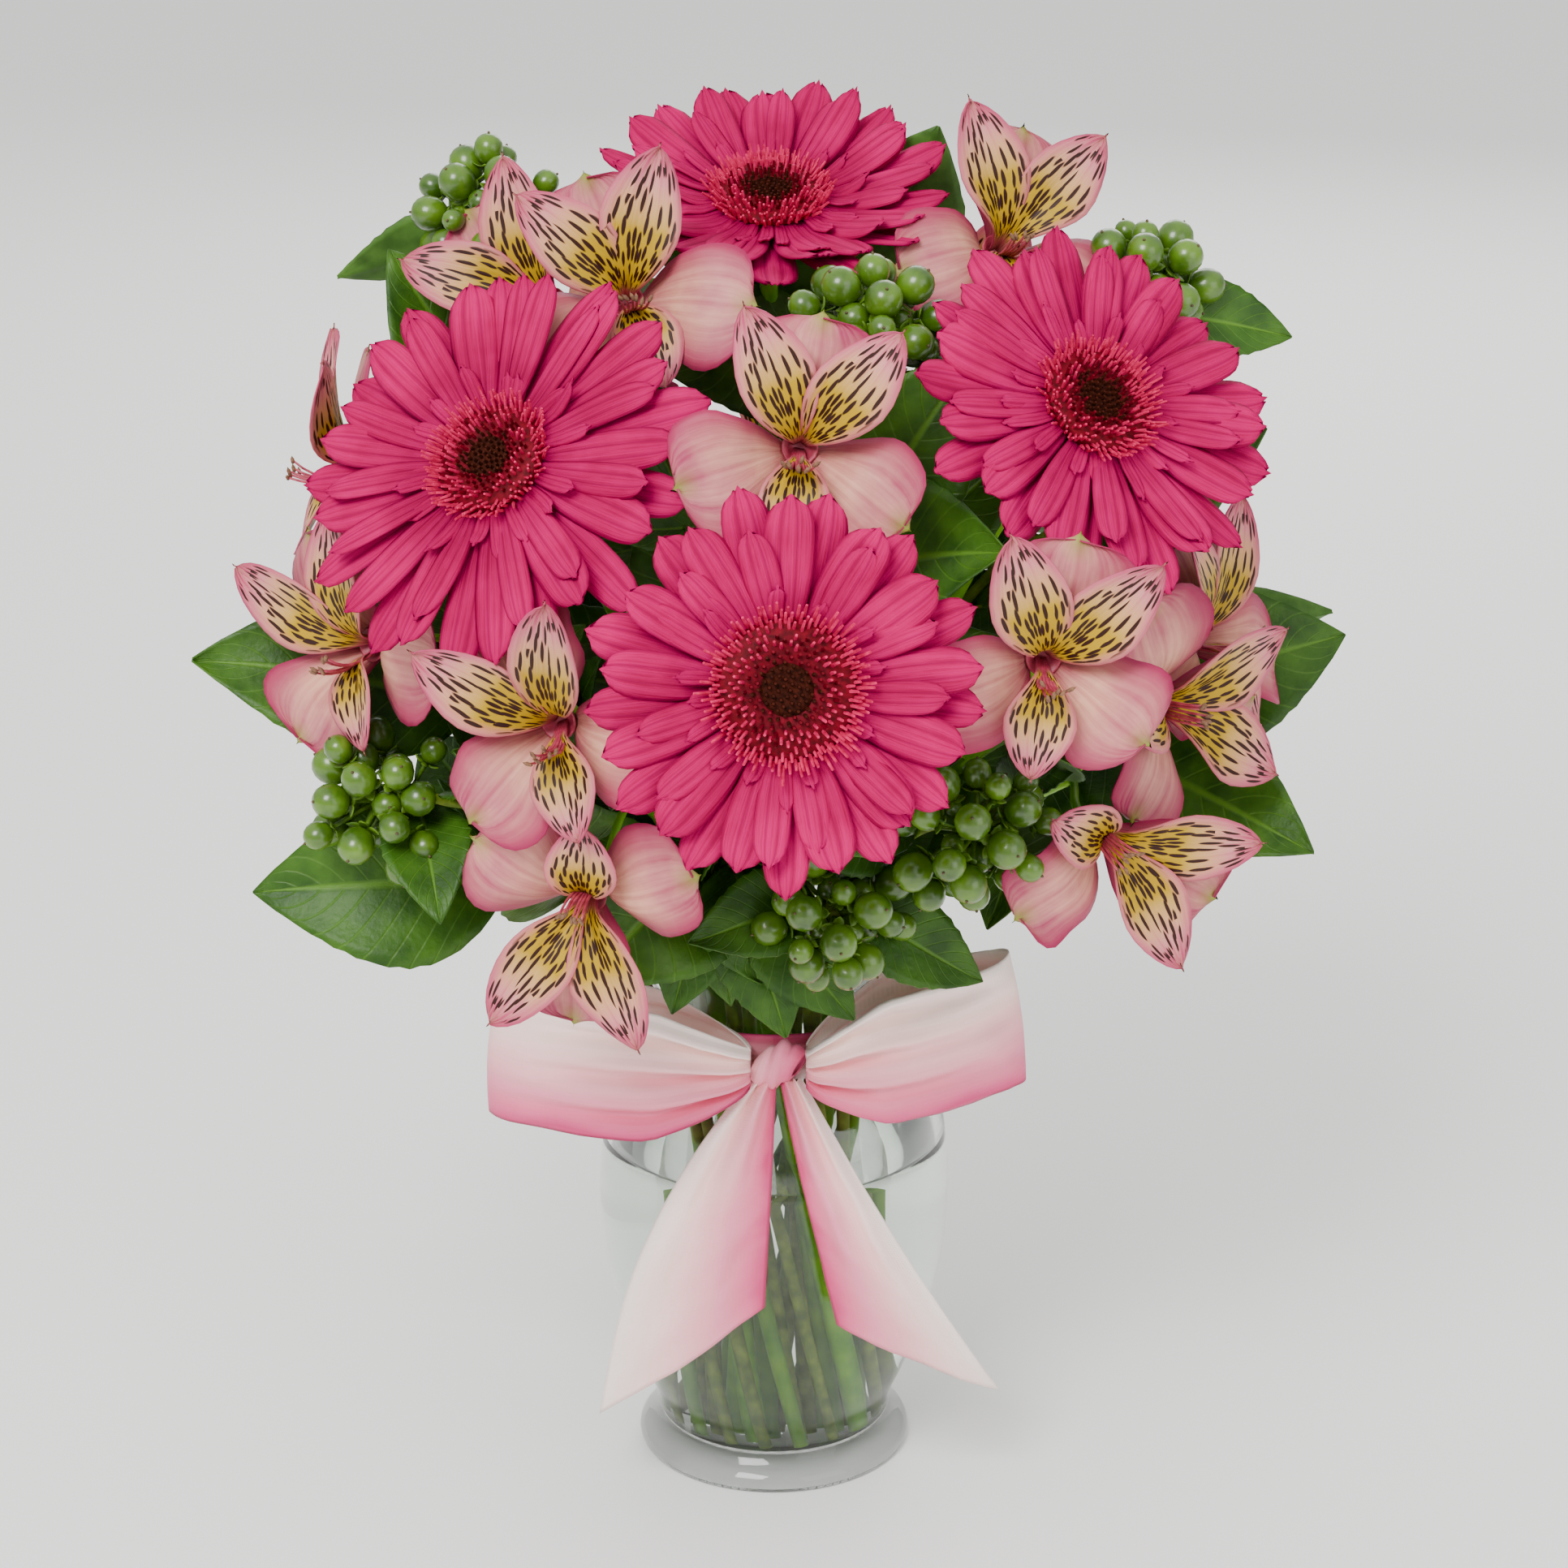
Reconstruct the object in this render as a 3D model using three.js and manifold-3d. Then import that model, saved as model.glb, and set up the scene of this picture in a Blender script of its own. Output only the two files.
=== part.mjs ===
// Gerberas in a clear glass vase, with alstroemeria, hypericum berries, salal leaves and a ribbon bow.
// Millimetres, +Z up. The origin is the centre of the vase's base and the bouquet faces -Y.
import * as THREE from 'three';
import { mergeVertices } from 'three/addons/utils/BufferGeometryUtils.js';
import Module from 'manifold-3d';

const wasm = await Module();
wasm.setup();

// Driving dimensions of the vase, from its foot to its flared rim, as [height, outer radius].
const VASE_OUTLINE = [
  [0, 43], [4.3, 43.3], [13, 37], [30, 43.5], [48, 49.8], [66, 54], [86, 55.6], [105, 54.8],
  [119, 52.6], [135, 45], [150, 38], [164, 40], [178, 47],
];
const VASE_WALL = 3;
const VASE_FLOOR = 8;
const NECK_HEIGHT = 150;
const WATER_LEVEL = 108;

// Driving dimensions of the flowers and leaves.
const GERBERA = { reach: 55, hub: 21, root: 21.5, shortReach: 24.5, rays: 13, petal: 13, thickness: 0.9 };
const ALSTROEMERIA = { reach: 36, innerReach: 41, depth: 16, outerWidth: 31, innerWidth: 20, thickness: 0.8 };
const BERRY = { radius: 5.2, length: 12 };
const BERRY_TIERS = [
  { below: 1.5, lean: 4, count: 1, stalk: 9 }, { below: 3, lean: 50, count: 4, stalk: 12 },
  { below: 9, lean: 82, count: 4, stalk: 15 },
];
const LEAF = { length: 88, width: 50, thickness: 0.9 };
const BERRY_LEAF = { length: 58, width: 26, thickness: 0.9 };
const STEMS = {
  gerbera: { radius: 3.1, sides: 6, sweeps: 6 },
  alstroemeria: { radius: 2.1, sides: 5, sweeps: 5 },
  hypericum: { radius: 1.9, sides: 4, sweeps: 5 },
  salal: { radius: 1.7, sides: 4, sweeps: 5 },
};
const RIBBON = { width: 40, thickness: 0.9 };

// Neighbouring pieces keep this gap, and a blade that would come nearer is bent clear.
const GAP = 0.3;

// The stems fan out from three rings in the neck, and their bundle turns on its way down to the floor.
const NECK_RINGS = [{ radius: 8.5, stems: 4 }, { radius: 18.5, stems: 9 }, { radius: 28.8, stems: 16 }];
const BUNDLE_TURN = THREE.MathUtils.degToRad(62);
const BUNDLE_FOOT = 0.92;

// Where each flower head sits, where it looks (azimuth from the front, elevation) and its turn clockwise.
const GERBERAS = [
  { at: [-78, -74, 347], look: [-31, 37], turn: 0, cup: -5, size: 1.13 },
  { at: [4, -146, 304], look: [2, 18], turn: 6, cup: 8, size: 0.98 },
  { at: [91, -60, 360], look: [30, 40], turn: 3, cup: 0, size: 1 },
  { at: [-1, 28, 400], look: [2, 68], turn: 9, cup: 19, size: 0.98 },
];
const ALSTROEMERIAS = [
  { stem: 0, at: [-42, -26, 384], look: [4, 26], turn: -18 },
  { stem: 0, at: [-69, 2, 376], look: [-24, 22], turn: -50 },
  { stem: 1, at: [8, -94, 357], look: [2, 16], turn: 10 },
  { stem: 2, at: [77, -106, 298], look: [8, 6], turn: 13 },
  { stem: 2, at: [118, -46, 265], look: [46, 4], turn: 98 },
  { stem: 3, at: [133, -10, 276], look: [62, 22], turn: 0 },
  { stem: 3, at: [100, -74, 232], look: [24, -6], turn: 122 },
  { stem: 4, at: [-54, -106, 225], look: [-12, -6], turn: 186 },
  { stem: 4, at: [-62, -106, 279], look: [-14, 6], turn: -24 },
  { stem: 5, at: [-123, -48, 284], look: [-40, 8], turn: -32 },
  { stem: 5, at: [-128, 2, 325], look: [-88, 14], turn: 0 },
  { stem: 6, at: [70, 14, 391], look: [22, 32], turn: 20 },
  { stem: 6, at: [62, 82, 352], look: [145, 34], turn: 0 },
  { stem: 7, at: [-62, 92, 318], look: [-150, 20], turn: 10 },
  { stem: 7, at: [4, 116, 292], look: [178, 12], turn: -15 },
];
const UMBELS = [
  [-46, 2, 345], [2, -58, 335], [72, -58, 262], [88, -30, 236], [-42, -66, 242],
  [-86, -18, 272], [44, 36, 345], [-22, 66, 270],
];
const HYPERICUMS = [
  { at: [-88, 34, 396], look: [-50, 45], leaves: [[-134, 50, 372]] },
  { at: [115, 20, 377], look: [60, 40], leaves: [[158, 30, 358]] },
  { at: [30, -36, 378], look: [10, 40], leaves: [[-4, -50, 362]] },
  { at: [-118, -58, 240], look: [-60, 5], leaves: [[-96, -92, 216]] },
  { at: [60, -84, 239], look: [32, -4], leaves: [[96, -58, 212], [44, -94, 250]] },
  { at: [18, -80, 212], look: [6, -16], leaves: [[63, -64, 185], [-24, -84, 206]] },
  { at: [64, 104, 290], look: [150, 10], leaves: [[100, 114, 270], [34, 132, 268]] },
];
const SALALS = [
  { end: [-88, -4, 248], tips: [[-173, -25, 273], [-128, 62, 258]] },
  { end: [-76, -34, 205], tips: [[-155, -50, 208], [-112, 44, 196], [-66, -74, 250]] },
  { end: [-10, -54, 266], tips: [[-46, -94, 252], [-34, -38, 344], [40, -78, 262]] },
  { end: [-14, -50, 218], tips: [[2, -73, 172], [-56, -74, 188]] },
  { end: [100, 36, 232], tips: [[176, 46, 266], [162, -36, 216], [136, 88, 230]] },
  { end: [84, 14, 300], tips: [[147, -2, 338], [134, 70, 318]] },
  { end: [24, 44, 350], tips: [[50, 54, 418], [20, 112, 356]] },
  { end: [-80, 34, 312], tips: [[-114, 24, 386], [-150, 8, 340], [-120, 86, 338]] },
  { end: [8, 62, 226], tips: [[4, 140, 226], [74, 112, 220], [-72, 112, 222]] },
  { end: [26, -44, 316], tips: [[62, -58, 384], [-26, -64, 330], [66, -92, 326]] },
];

// Colours and finishes, one material for each kind of surface.
const FINISH = {
  glass: { color: 0xdfe8e4, roughness: 0.05, transparent: true, opacity: 0.35 },
  water: { color: 0xcfdcd4, roughness: 0.02, transparent: true, opacity: 0.4 },
  petal: { color: 0xe3207a, roughness: 0.55 },
  disc: { color: 0xa8174e, roughness: 0.8 },
  gerberaStem: { color: 0x6a9440, roughness: 0.6 },
  alstroemeria: { color: 0xf0b8c2, roughness: 0.5 },
  alstroemeriaStem: { color: 0x5d8a3a, roughness: 0.55 },
  hypericum: { color: 0x6f9a3c, roughness: 0.35 },
  salal: { color: 0x2c5428, roughness: 0.45 },
  ribbon: { color: 0xf6c6cf, roughness: 0.6 },
};

const UP = new THREE.Vector3(0, 0, 1);
const object = new THREE.Group();
const materials = {};

// A seeded draw, so that every build grows the same bouquet.
let seed = 7;
function draw(low, high) {
  seed = (Math.imul(seed, 1664525) + 1013904223) >>> 0;
  return low + (high - low) * (seed / 4294967296);
}

// A closed three.js geometry as a solid for joining and cutting.
function solidOf(geometry, matrix = new THREE.Matrix4()) {
  const bare = geometry.clone().applyMatrix4(matrix);
  bare.deleteAttribute('normal');
  bare.deleteAttribute('uv');
  const merged = mergeVertices(bare, 1e-4);
  const vertProperties = Float32Array.from(merged.attributes.position.array);
  const triVerts = Uint32Array.from(merged.index.array);
  const solid = new wasm.Manifold(new wasm.Mesh({ numProp: 3, vertProperties, triVerts }));
  if (solid.volume() > 0) return solid;
  for (let i = 0; i < triVerts.length; i += 3) {
    [triVerts[i + 1], triVerts[i + 2]] = [triVerts[i + 2], triVerts[i + 1]];
  }
  return new wasm.Manifold(new wasm.Mesh({ numProp: 3, vertProperties, triVerts }));
}

function geometryOf(solid) {
  const mesh = solid.getMesh();
  const geometry = new THREE.BufferGeometry();
  geometry.setAttribute('position', new THREE.BufferAttribute(mesh.vertProperties, 3));
  geometry.setIndex(new THREE.BufferAttribute(mesh.triVerts, 1));
  geometry.computeVertexNormals();
  return geometry;
}

// Everything that is already in the bouquet, with its box, for keeping later pieces clear of it.
const placed = [];

function isClear(solid) {
  const box = solid.boundingBox();
  const apart = (other) => [0, 1, 2].some(
    (axis) => box.min[axis] > other.box.max[axis] + GAP || box.max[axis] < other.box.min[axis] - GAP,
  );
  return placed.every((other) => apart(other) || solid.minGap(other.solid, 2 * GAP) >= GAP);
}

function place(name, finish, solid) {
  placed.push({ solid, box: solid.boundingBox() });
  materials[finish] ??= new THREE.MeshStandardMaterial(FINISH[finish]);
  const mesh = new THREE.Mesh(geometryOf(solid), materials[finish]);
  mesh.name = name;
  object.add(mesh);
}

const join = (solids) => solids.filter(Boolean).reduce((whole, piece) => whole.add(piece));

// The loose scraps that a join can leave are dropped, and the largest body is kept.
function whole(solid) {
  const bodies = solid.decompose();
  return bodies.reduce((largest, body) => (body.volume() > largest.volume() ? body : largest));
}

// Tries the same piece at each bend in turn until it lies clear of the bouquet.
function firstClear(bends, make) {
  for (const bend of bends) {
    const solid = make(bend);
    if (isClear(solid)) return solid;
  }
  return null;
}

function direction([azimuth, elevation]) {
  const a = THREE.MathUtils.degToRad(azimuth);
  const e = THREE.MathUtils.degToRad(elevation);
  return new THREE.Vector3(Math.sin(a) * Math.cos(e), -Math.cos(a) * Math.cos(e), Math.sin(e));
}

// A head's own frame: z looks out of the flower, y points to its top and x to its right as it is seen.
function headFrame({ at, look, turn = 0 }) {
  const z = direction(look);
  const x = new THREE.Vector3().crossVectors(UP, z).normalize();
  const y = new THREE.Vector3().crossVectors(z, x);
  const frame = new THREE.Matrix4().makeBasis(x, y, z).setPosition(...at);
  return frame.multiply(new THREE.Matrix4().makeRotationZ(-THREE.MathUtils.degToRad(turn)));
}

// A frame whose x points along a petal that leaves the head's axis at an angle counted from its right.
function petalFrame(head, angle) {
  return head.clone().multiply(new THREE.Matrix4().makeRotationZ(angle));
}

// A blade is a thin box bent along x: line gives the length and height of its middle, half its half
// width, and cup how far its edges rise. stations are the shares of its length where it bends.
function blade(frame, { stations, columns, thickness, line, half, cup = () => 0 }) {
  const rows = stations.length - 1;
  const box = new THREE.BoxGeometry(2, 1, 1, columns, rows, 1);
  const position = box.attributes.position;
  for (let i = 0; i < position.count; i += 1) {
    const across = position.getX(i);
    const v = stations[Math.round((position.getY(i) + 0.5) * rows)];
    const [along, height] = line(v);
    const [alongNext, heightNext] = line(v + 0.01);
    const slope = Math.atan2(heightNext - height, alongNext - along);
    const depth = position.getZ(i) * thickness;
    position.setXYZ(
      i,
      along - depth * Math.sin(slope),
      across * half(v),
      height + depth * Math.cos(slope) + cup(v) * Math.abs(across),
    );
  }
  return solidOf(box, frame);
}

// A round body turned about its frame's z, from [radius, height] points that start and end on the axis.
function turned(profile, sides, frame) {
  const points = profile.map(([radius, height]) => new THREE.Vector2(radius, height));
  const lathe = new THREE.LatheGeometry(points, sides).rotateX(Math.PI / 2);
  return solidOf(lathe, frame);
}

function polygon(radius, sides) {
  const centre = new THREE.Vector2();
  const corner = (i) => new THREE.Vector2(radius, 0).rotateAround(centre, (i / sides) * 2 * Math.PI);
  return new THREE.Shape(Array.from({ length: sides }, (_, i) => corner(i)));
}

function tube(curve, radius, sides, steps) {
  return solidOf(new THREE.ExtrudeGeometry(polygon(radius, sides), { steps, extrudePath: curve }));
}

// A stem runs straight from its cut end to the neck and then sweeps to its head in equal steps.
class StemCurve extends THREE.Curve {
  constructor(cutEnd, neck, end, arrival, sweeps, swing = 0) {
    super();
    const reach = neck.distanceTo(end);
    const rise = neck.clone().sub(cutEnd).normalize();
    this.cutEnd = cutEnd;
    this.neck = neck;
    this.straight = 1 / (sweeps + 1);
    const aside = new THREE.Vector3().crossVectors(UP, end.clone().sub(neck)).setLength(swing);
    this.sweep = new THREE.CubicBezierCurve3(
      neck,
      neck.clone().addScaledVector(rise, 0.38 * reach),
      end.clone().addScaledVector(arrival, -0.36 * reach).add(aside),
      end,
    );
  }

  getPoint(t, target = new THREE.Vector3()) {
    if (t <= this.straight) return target.lerpVectors(this.cutEnd, this.neck, t / this.straight);
    return this.sweep.getPoint((t - this.straight) / (1 - this.straight), target);
  }

  getSpacedPoints(steps) {
    return this.getPoints(steps);
  }

  // A point of the straight-sided stem that the curve is swept to, a distance below its end.
  below(distance) {
    const end = this.getPoint(1);
    const previous = this.getPoint(1 - this.straight);
    return end.add(previous.sub(end).setLength(distance));
  }

  getTangentAt(t, target) {
    return this.getTangent(t, target);
  }
}

// Vase
const outline = new THREE.SplineCurve(
  VASE_OUTLINE.map(([height, radius]) => new THREE.Vector2(radius, height)));
const OUTLINE_STEPS = 12;
const outerWall = outline.getPoints(OUTLINE_STEPS).map((point) => [point.x, point.y]);

function outerRadius(height) {
  const above = Math.max(1, outerWall.findIndex(([, z]) => z >= height));
  const [r0, z0] = outerWall[above - 1];
  const [r1, z1] = outerWall[above];
  return r0 + ((r1 - r0) * (height - z0)) / (z1 - z0);
}

const innerHeights = outerWall.map(([, z]) => z).filter((z) => z > VASE_FLOOR + 2).reverse();
const innerWall = innerHeights.map((z) => [outerRadius(z) - VASE_WALL, z]);
const VASE_SIDES = 24;
const WATER_SIDES = 16;

function makeVase() {
  const bottomBevel = 1.5;
  const [rimRadius, rimHeight] = outerWall.at(-1);
  const profile = [
    [0, 0], [outerWall[0][0] - bottomBevel, 0], [outerWall[0][0], bottomBevel],
    ...outerWall.slice(1),
    [rimRadius - VASE_WALL / 2, rimHeight + 0.8],
    ...innerWall,
    [innerWall.at(-1)[0] - 2, VASE_FLOOR], [0, VASE_FLOOR],
  ];
  return turned(profile, VASE_SIDES, new THREE.Matrix4());
}
place('vase', 'glass', makeVase());

// Ribbon: a band round the neck, a knot in front of it, two loops and two tails
const BAND_DEPTH = 3.2;
const KNOT_SIZE = new THREE.Vector3(8, 3.6, 7.5);
const KNOT = new THREE.Vector3(1.5, -outerRadius(NECK_HEIGHT) - BAND_DEPTH - KNOT_SIZE.y - 1.2, NECK_HEIGHT);
const BAND_HEIGHTS = [143, 150, 157];

// The band follows the neck of the vase and bulges a little at its middle.
function makeBand() {
  const inner = [BAND_HEIGHTS[0], BAND_HEIGHTS[2]].map((z) => [outerRadius(z) + 2 * GAP, z]);
  const outer = BAND_HEIGHTS.map((z) => [outerRadius(z) + BAND_DEPTH - Math.abs(z - NECK_HEIGHT) * 0.12, z]);
  return turned([...outer, ...inner.reverse(), outer[0]], VASE_SIDES, new THREE.Matrix4());
}

function makeKnot() {
  const lump = new THREE.SphereGeometry(1, 8, 6).scale(...KNOT_SIZE);
  return solidOf(lump, new THREE.Matrix4().makeTranslation(...KNOT));
}

// A loop is a closed teardrop of ribbon in plan, as tall as the ribbon outside and gathered at the knot.
function makeLoop({ side, reach, drop, lean, height }) {
  const half = (along) => 1.5 + 13 * Math.sin(0.9 * Math.PI * along ** 1.1);
  const layer = (inset) => {
    const steps = 7;
    const front = Array.from({ length: steps + 1 }, (_, i) => i / steps);
    const point = (along, bulge) => new THREE.Vector2(
      along * reach - (along > 0.5 ? inset : -inset * 2.4), bulge * Math.max(0.5, half(along) - inset));
    return [...front.map((along) => point(along, -1)), ...front.reverse().map((along) => point(along, 0.7))];
  };
  const shape = new THREE.Shape(layer(0));
  shape.holes.push(new THREE.Path(layer(RIBBON.thickness)));
  const geometry = new THREE.ExtrudeGeometry(shape, { depth: 1, steps: 1, bevelEnabled: false });
  const position = geometry.attributes.position;
  for (let i = 0; i < position.count; i += 1) {
    const along = position.getX(i) / reach;
    const gathered = THREE.MathUtils.lerp(11, height, Math.min(1, along * 1.5) ** 0.8);
    const z = (position.getZ(i) - 0.5) * gathered - drop * along;
    const upper = position.getZ(i) - 0.5;
    position.setXYZ(
      i,
      side * (KNOT_SIZE.x + 0.4 + position.getX(i) + lean * upper * along),
      -1 + position.getY(i) + 7 * along,
      z,
    );
  }
  return solidOf(geometry, new THREE.Matrix4().makeTranslation(...KNOT));
}

// A tail falls from under the knot, opens to the ribbon's width and clears the belly of the vase.
function makeTail({ side, tip, inner }) {
  const stations = [0, 0.12, 0.3, 0.5, 0.72, 1];
  const bellyFront = -outerRadius(86) - 4.2;
  const top = KNOT.z - KNOT_SIZE.z - 0.4;
  const box = new THREE.BoxGeometry(1, 1, 1, 4, stations.length - 1, 1);
  const position = box.attributes.position;
  for (let i = 0; i < position.count; i += 1) {
    const across = position.getX(i) + 0.5;
    const v = stations[Math.round((0.5 - position.getY(i)) * (stations.length - 1))];
    const fold = 1.4 * Math.sin(across * 3 * Math.PI) * (1 - 0.6 * v);
    const outerEdge = new THREE.Vector2(side * 7, top).lerp(new THREE.Vector2(...tip), v);
    const innerEdge = new THREE.Vector2(side * 1, top).lerp(new THREE.Vector2(...inner), v);
    const point = innerEdge.lerp(outerEdge, across);
    const hang = THREE.MathUtils.lerp(KNOT.y, bellyFront, Math.sin(Math.min(1, v * 1.9) * 1.571));
    const wrap = (point.x * point.x) / 240;
    const y = hang + wrap * v + fold + position.getZ(i) * RIBBON.thickness;
    position.setXYZ(i, KNOT.x + point.x, y, point.y);
  }
  return solidOf(box);
}

place('ribbon_band', 'ribbon', makeBand());
place('ribbon_knot', 'ribbon', makeKnot());
place('ribbon_loop_left', 'ribbon', makeLoop({ side: -1, reach: 80, drop: -3, lean: -4, height: 42 }));
place('ribbon_loop_right', 'ribbon', makeLoop({ side: 1, reach: 66, drop: -14, lean: -6, height: 42 }));
place('ribbon_tail_left', 'ribbon', makeTail({ side: -1, tip: [-56, 31], inner: [-4, 75] }));
place('ribbon_tail_right', 'ribbon', makeTail({ side: 1, tip: [70, 35], inner: [18, 68] }));

// Stems: every head's stem gets a place in the neck, the steepest in the inner ring, and each ring in
// the order of the heads round the bouquet.
const heads = [
  ...GERBERAS.map((head, i) => ({ name: `gerbera_${i + 1}`, end: head.at })),
  ...UMBELS.map((end, i) => ({ name: `alstroemeria_stem_${i + 1}`, end })),
  ...HYPERICUMS.map((spray, i) => ({ name: `hypericum_${i + 1}`, end: spray.at })),
  ...SALALS.map((sprig, i) => ({ name: `salal_${i + 1}`, end: sprig.end })),
];
const slots = new Map();

function fillNeck() {
  const spread = ({ end }) => Math.hypot(end[0], end[1]) / (end[2] - NECK_HEIGHT);
  const bearing = ({ end }) => Math.atan2(end[1], end[0]);
  const waiting = [...heads].sort((a, b) => spread(a) - spread(b));
  for (const ring of NECK_RINGS) {
    const members = waiting.splice(0, ring.stems).sort((a, b) => bearing(a) - bearing(b));
    const step = (2 * Math.PI) / members.length;
    const drift = new THREE.Vector2();
    members.forEach((head, i) => {
      drift.x += Math.cos(bearing(head) - i * step);
      drift.y += Math.sin(bearing(head) - i * step);
    });
    members.forEach((head, i) => {
      const angle = i * step + drift.angle();
      slots.set(head.name, new THREE.Vector2(ring.radius, 0).rotateAround(new THREE.Vector2(), angle));
    });
  }
}
fillNeck();

// The stem swings aside between the neck and its head until it lies clear of what is there.
const STEM_SWINGS = [0, 7, -7, 14, -14, 21, -21, 28, -28];
const stemHoles = [];

function growStem(name, end, arrival, { radius, sides, sweeps }) {
  const slot = slots.get(name);
  const foot = slot.clone().rotateAround(new THREE.Vector2(), BUNDLE_TURN).multiplyScalar(BUNDLE_FOOT);
  const cutEnd = new THREE.Vector3(foot.x, foot.y, VASE_FLOOR + 1);
  const neck = new THREE.Vector3(slot.x, slot.y, NECK_HEIGHT);
  const routes = STEM_SWINGS.map((swing) => new StemCurve(cutEnd, neck, end, arrival, sweeps, swing));
  const stems = routes.map((curve) => ({ curve, solid: tube(curve, radius, sides, sweeps + 1) }));
  const stem = stems.find(({ solid }) => isClear(solid));
  const below = new THREE.LineCurve3(cutEnd.clone().lerp(neck, -0.03), neck);
  stemHoles.push(tube(below, radius + 1.6 * GAP, sides, 1));
  return stem ?? stems[0];
}

// Gerberas: a green stem with its cup of bracts, a disc with two whorls of rays, and a dark eye
const CORE = { radius: 12, bottom: -5, top: 1.4 };
const DISC_SIDES = 14;

function gerberaStem(head, name) {
  const frame = headFrame(head);
  const base = new THREE.Vector3(0, 0, -15).applyMatrix4(frame);
  const stem = growStem(name, base, direction(head.look), STEMS.gerbera).solid;
  const rim = CORE.bottom - GAP - 0.1;
  const cup = turned([[0, -16], [4.2, -16], [8.5, -12.5], [13.6, -8], [14.2, rim], [0, rim]], 7, frame);
  return stem.add(cup);
}

// The disc: its rim is drawn out to a ring of short rays, and its florets stand as raised corners
// round the dark eye in the middle.
function gerberaDisc(head) {
  const { hub, shortReach } = GERBERA;
  const base = CORE.top + GAP;
  const profile = [
    [0, base], [17, base], [hub - 0.4, base + 1], [17.2, 6.4], [13.2, 5.6], [9.6, 7.4], [7.8, 5.4],
    [4, 7.6], [0, 6.6],
  ];
  const points = profile.map(([radius, height]) => new THREE.Vector2(radius, height));
  const lathe = new THREE.LatheGeometry(points, DISC_SIDES).rotateX(Math.PI / 2);
  const position = lathe.attributes.position;
  for (let i = 0; i < position.count; i += 1) {
    const ring = i % points.length;
    const side = Math.floor(i / points.length) % DISC_SIDES;
    const raised = (side + ring) % 2 === 0;
    if (ring >= 3 && ring <= 5) position.setZ(i, position.getZ(i) + (raised ? 1.3 : -1));
    if (ring === 2 && raised) {
      const drawn = shortReach / hub;
      position.setXYZ(i, position.getX(i) * drawn, position.getY(i) * drawn, position.getZ(i) + 3.5);
    }
  }
  return solidOf(lathe, headFrame(head));
}

// Petals cut in plan from one sheet that joins them at their roots. outline lists each petal's corners
// past its root as [along, across], and path gives the radius and height that a length is bent to.
function petalPlate(frame, petals, { root, thickness }) {
  const centre = new THREE.Vector2();
  const turned = (along, across, angle) => new THREE.Vector2(along, across).rotateAround(centre, angle);
  const corners = petals.flatMap((petal, i) => {
    const before = petals.at(i - 1);
    const notch = petals.length > 1
      ? petal.angle - THREE.MathUtils.euclideanModulo(petal.angle - before.angle, 2 * Math.PI) / 2
      : petal.angle - petal.spread;
    const edge = petal.outline.map(([along, across]) => turned(along, across, petal.angle));
    return [turned(root, 0, notch), ...edge];
  });
  if (petals.length === 1) corners.push(turned(root, 0, petals[0].angle + petals[0].spread));
  const plate = new THREE.ExtrudeGeometry(new THREE.Shape(corners), { depth: 1, bevelEnabled: false });
  const position = plate.attributes.position;
  const turnFrom = (point, { angle }) => Math.abs(THREE.MathUtils.euclideanModulo(
    point.angle() - angle + Math.PI, 2 * Math.PI) - Math.PI);
  for (let i = 0; i < position.count; i += 1) {
    const point = new THREE.Vector2(position.getX(i), position.getY(i));
    const own = petals.reduce(
      (near, petal) => (turnFrom(point, petal) < turnFrom(point, near) ? petal : near));
    point.rotateAround(centre, -own.angle);
    const atRoot = point.length() < root + 0.01;
    const [radius, height] = own.path(atRoot ? Math.min(point.x, root) : point.x);
    const [nextRadius, nextHeight] = own.path(point.x + 0.1);
    const slope = atRoot ? 0 : Math.atan2(nextHeight - height, nextRadius - radius);
    const depth = (position.getZ(i) - 0.5) * thickness;
    const bent = new THREE.Vector2(radius - depth * Math.sin(slope), point.y).rotateAround(centre, own.angle);
    position.setXYZ(i, bent.x, bent.y, height + depth * Math.cos(slope));
  }
  return solidOf(plate, frame);
}

// Each petal takes the first of its choices that lies clear when it is cut alone.
function clearPetals(frame, choices, sheet) {
  return choices.map(
    (options) => options.find((petal) => isClear(petalPlate(frame, [petal], sheet))) ?? options.at(-1));
}

// One ray with its blunt tip, lifted by an angle that grows towards the tip.
function rayPetal({ angle, reach, width, rise, lift, count }) {
  const { root } = GERBERA;
  const middle = root + (reach - root) * 0.5;
  const outline = [
    [middle, -width / 2], [reach - 1.5, -width * 0.3], [reach, width * 0.26], [middle, width / 2],
  ];
  const path = (along) => {
    const out = Math.max(0, along - root);
    const tilt = THREE.MathUtils.degToRad(lift) * (0.5 + 0.5 * Math.min(1, out / 40));
    return [along - out * (1 - Math.cos(tilt)), rise + out * Math.sin(tilt)];
  };
  return { angle, outline, path, spread: Math.PI / count };
}

const RAY_BENDS = [0, -6, 6, -12, 12, -18, 18, -25, 25, -34];

function rayWhorl(frame, head, whorl) {
  const choices = Array.from({ length: whorl.count }, (_, i) => {
    const angle = ((i + whorl.shift) / whorl.count) * 2 * Math.PI;
    const reach = whorl.to * head.size * draw(0.95, 1.04);
    const lift = whorl.lift + draw(-2, 2);
    return [1, 0.86, 0.72, 0.6].flatMap((share) => RAY_BENDS.map(
      (bend) => rayPetal({ ...whorl, angle, lift: lift + bend, reach: reach * share })));
  });
  return petalPlate(frame, clearPetals(frame, choices, GERBERA), GERBERA);
}

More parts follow.
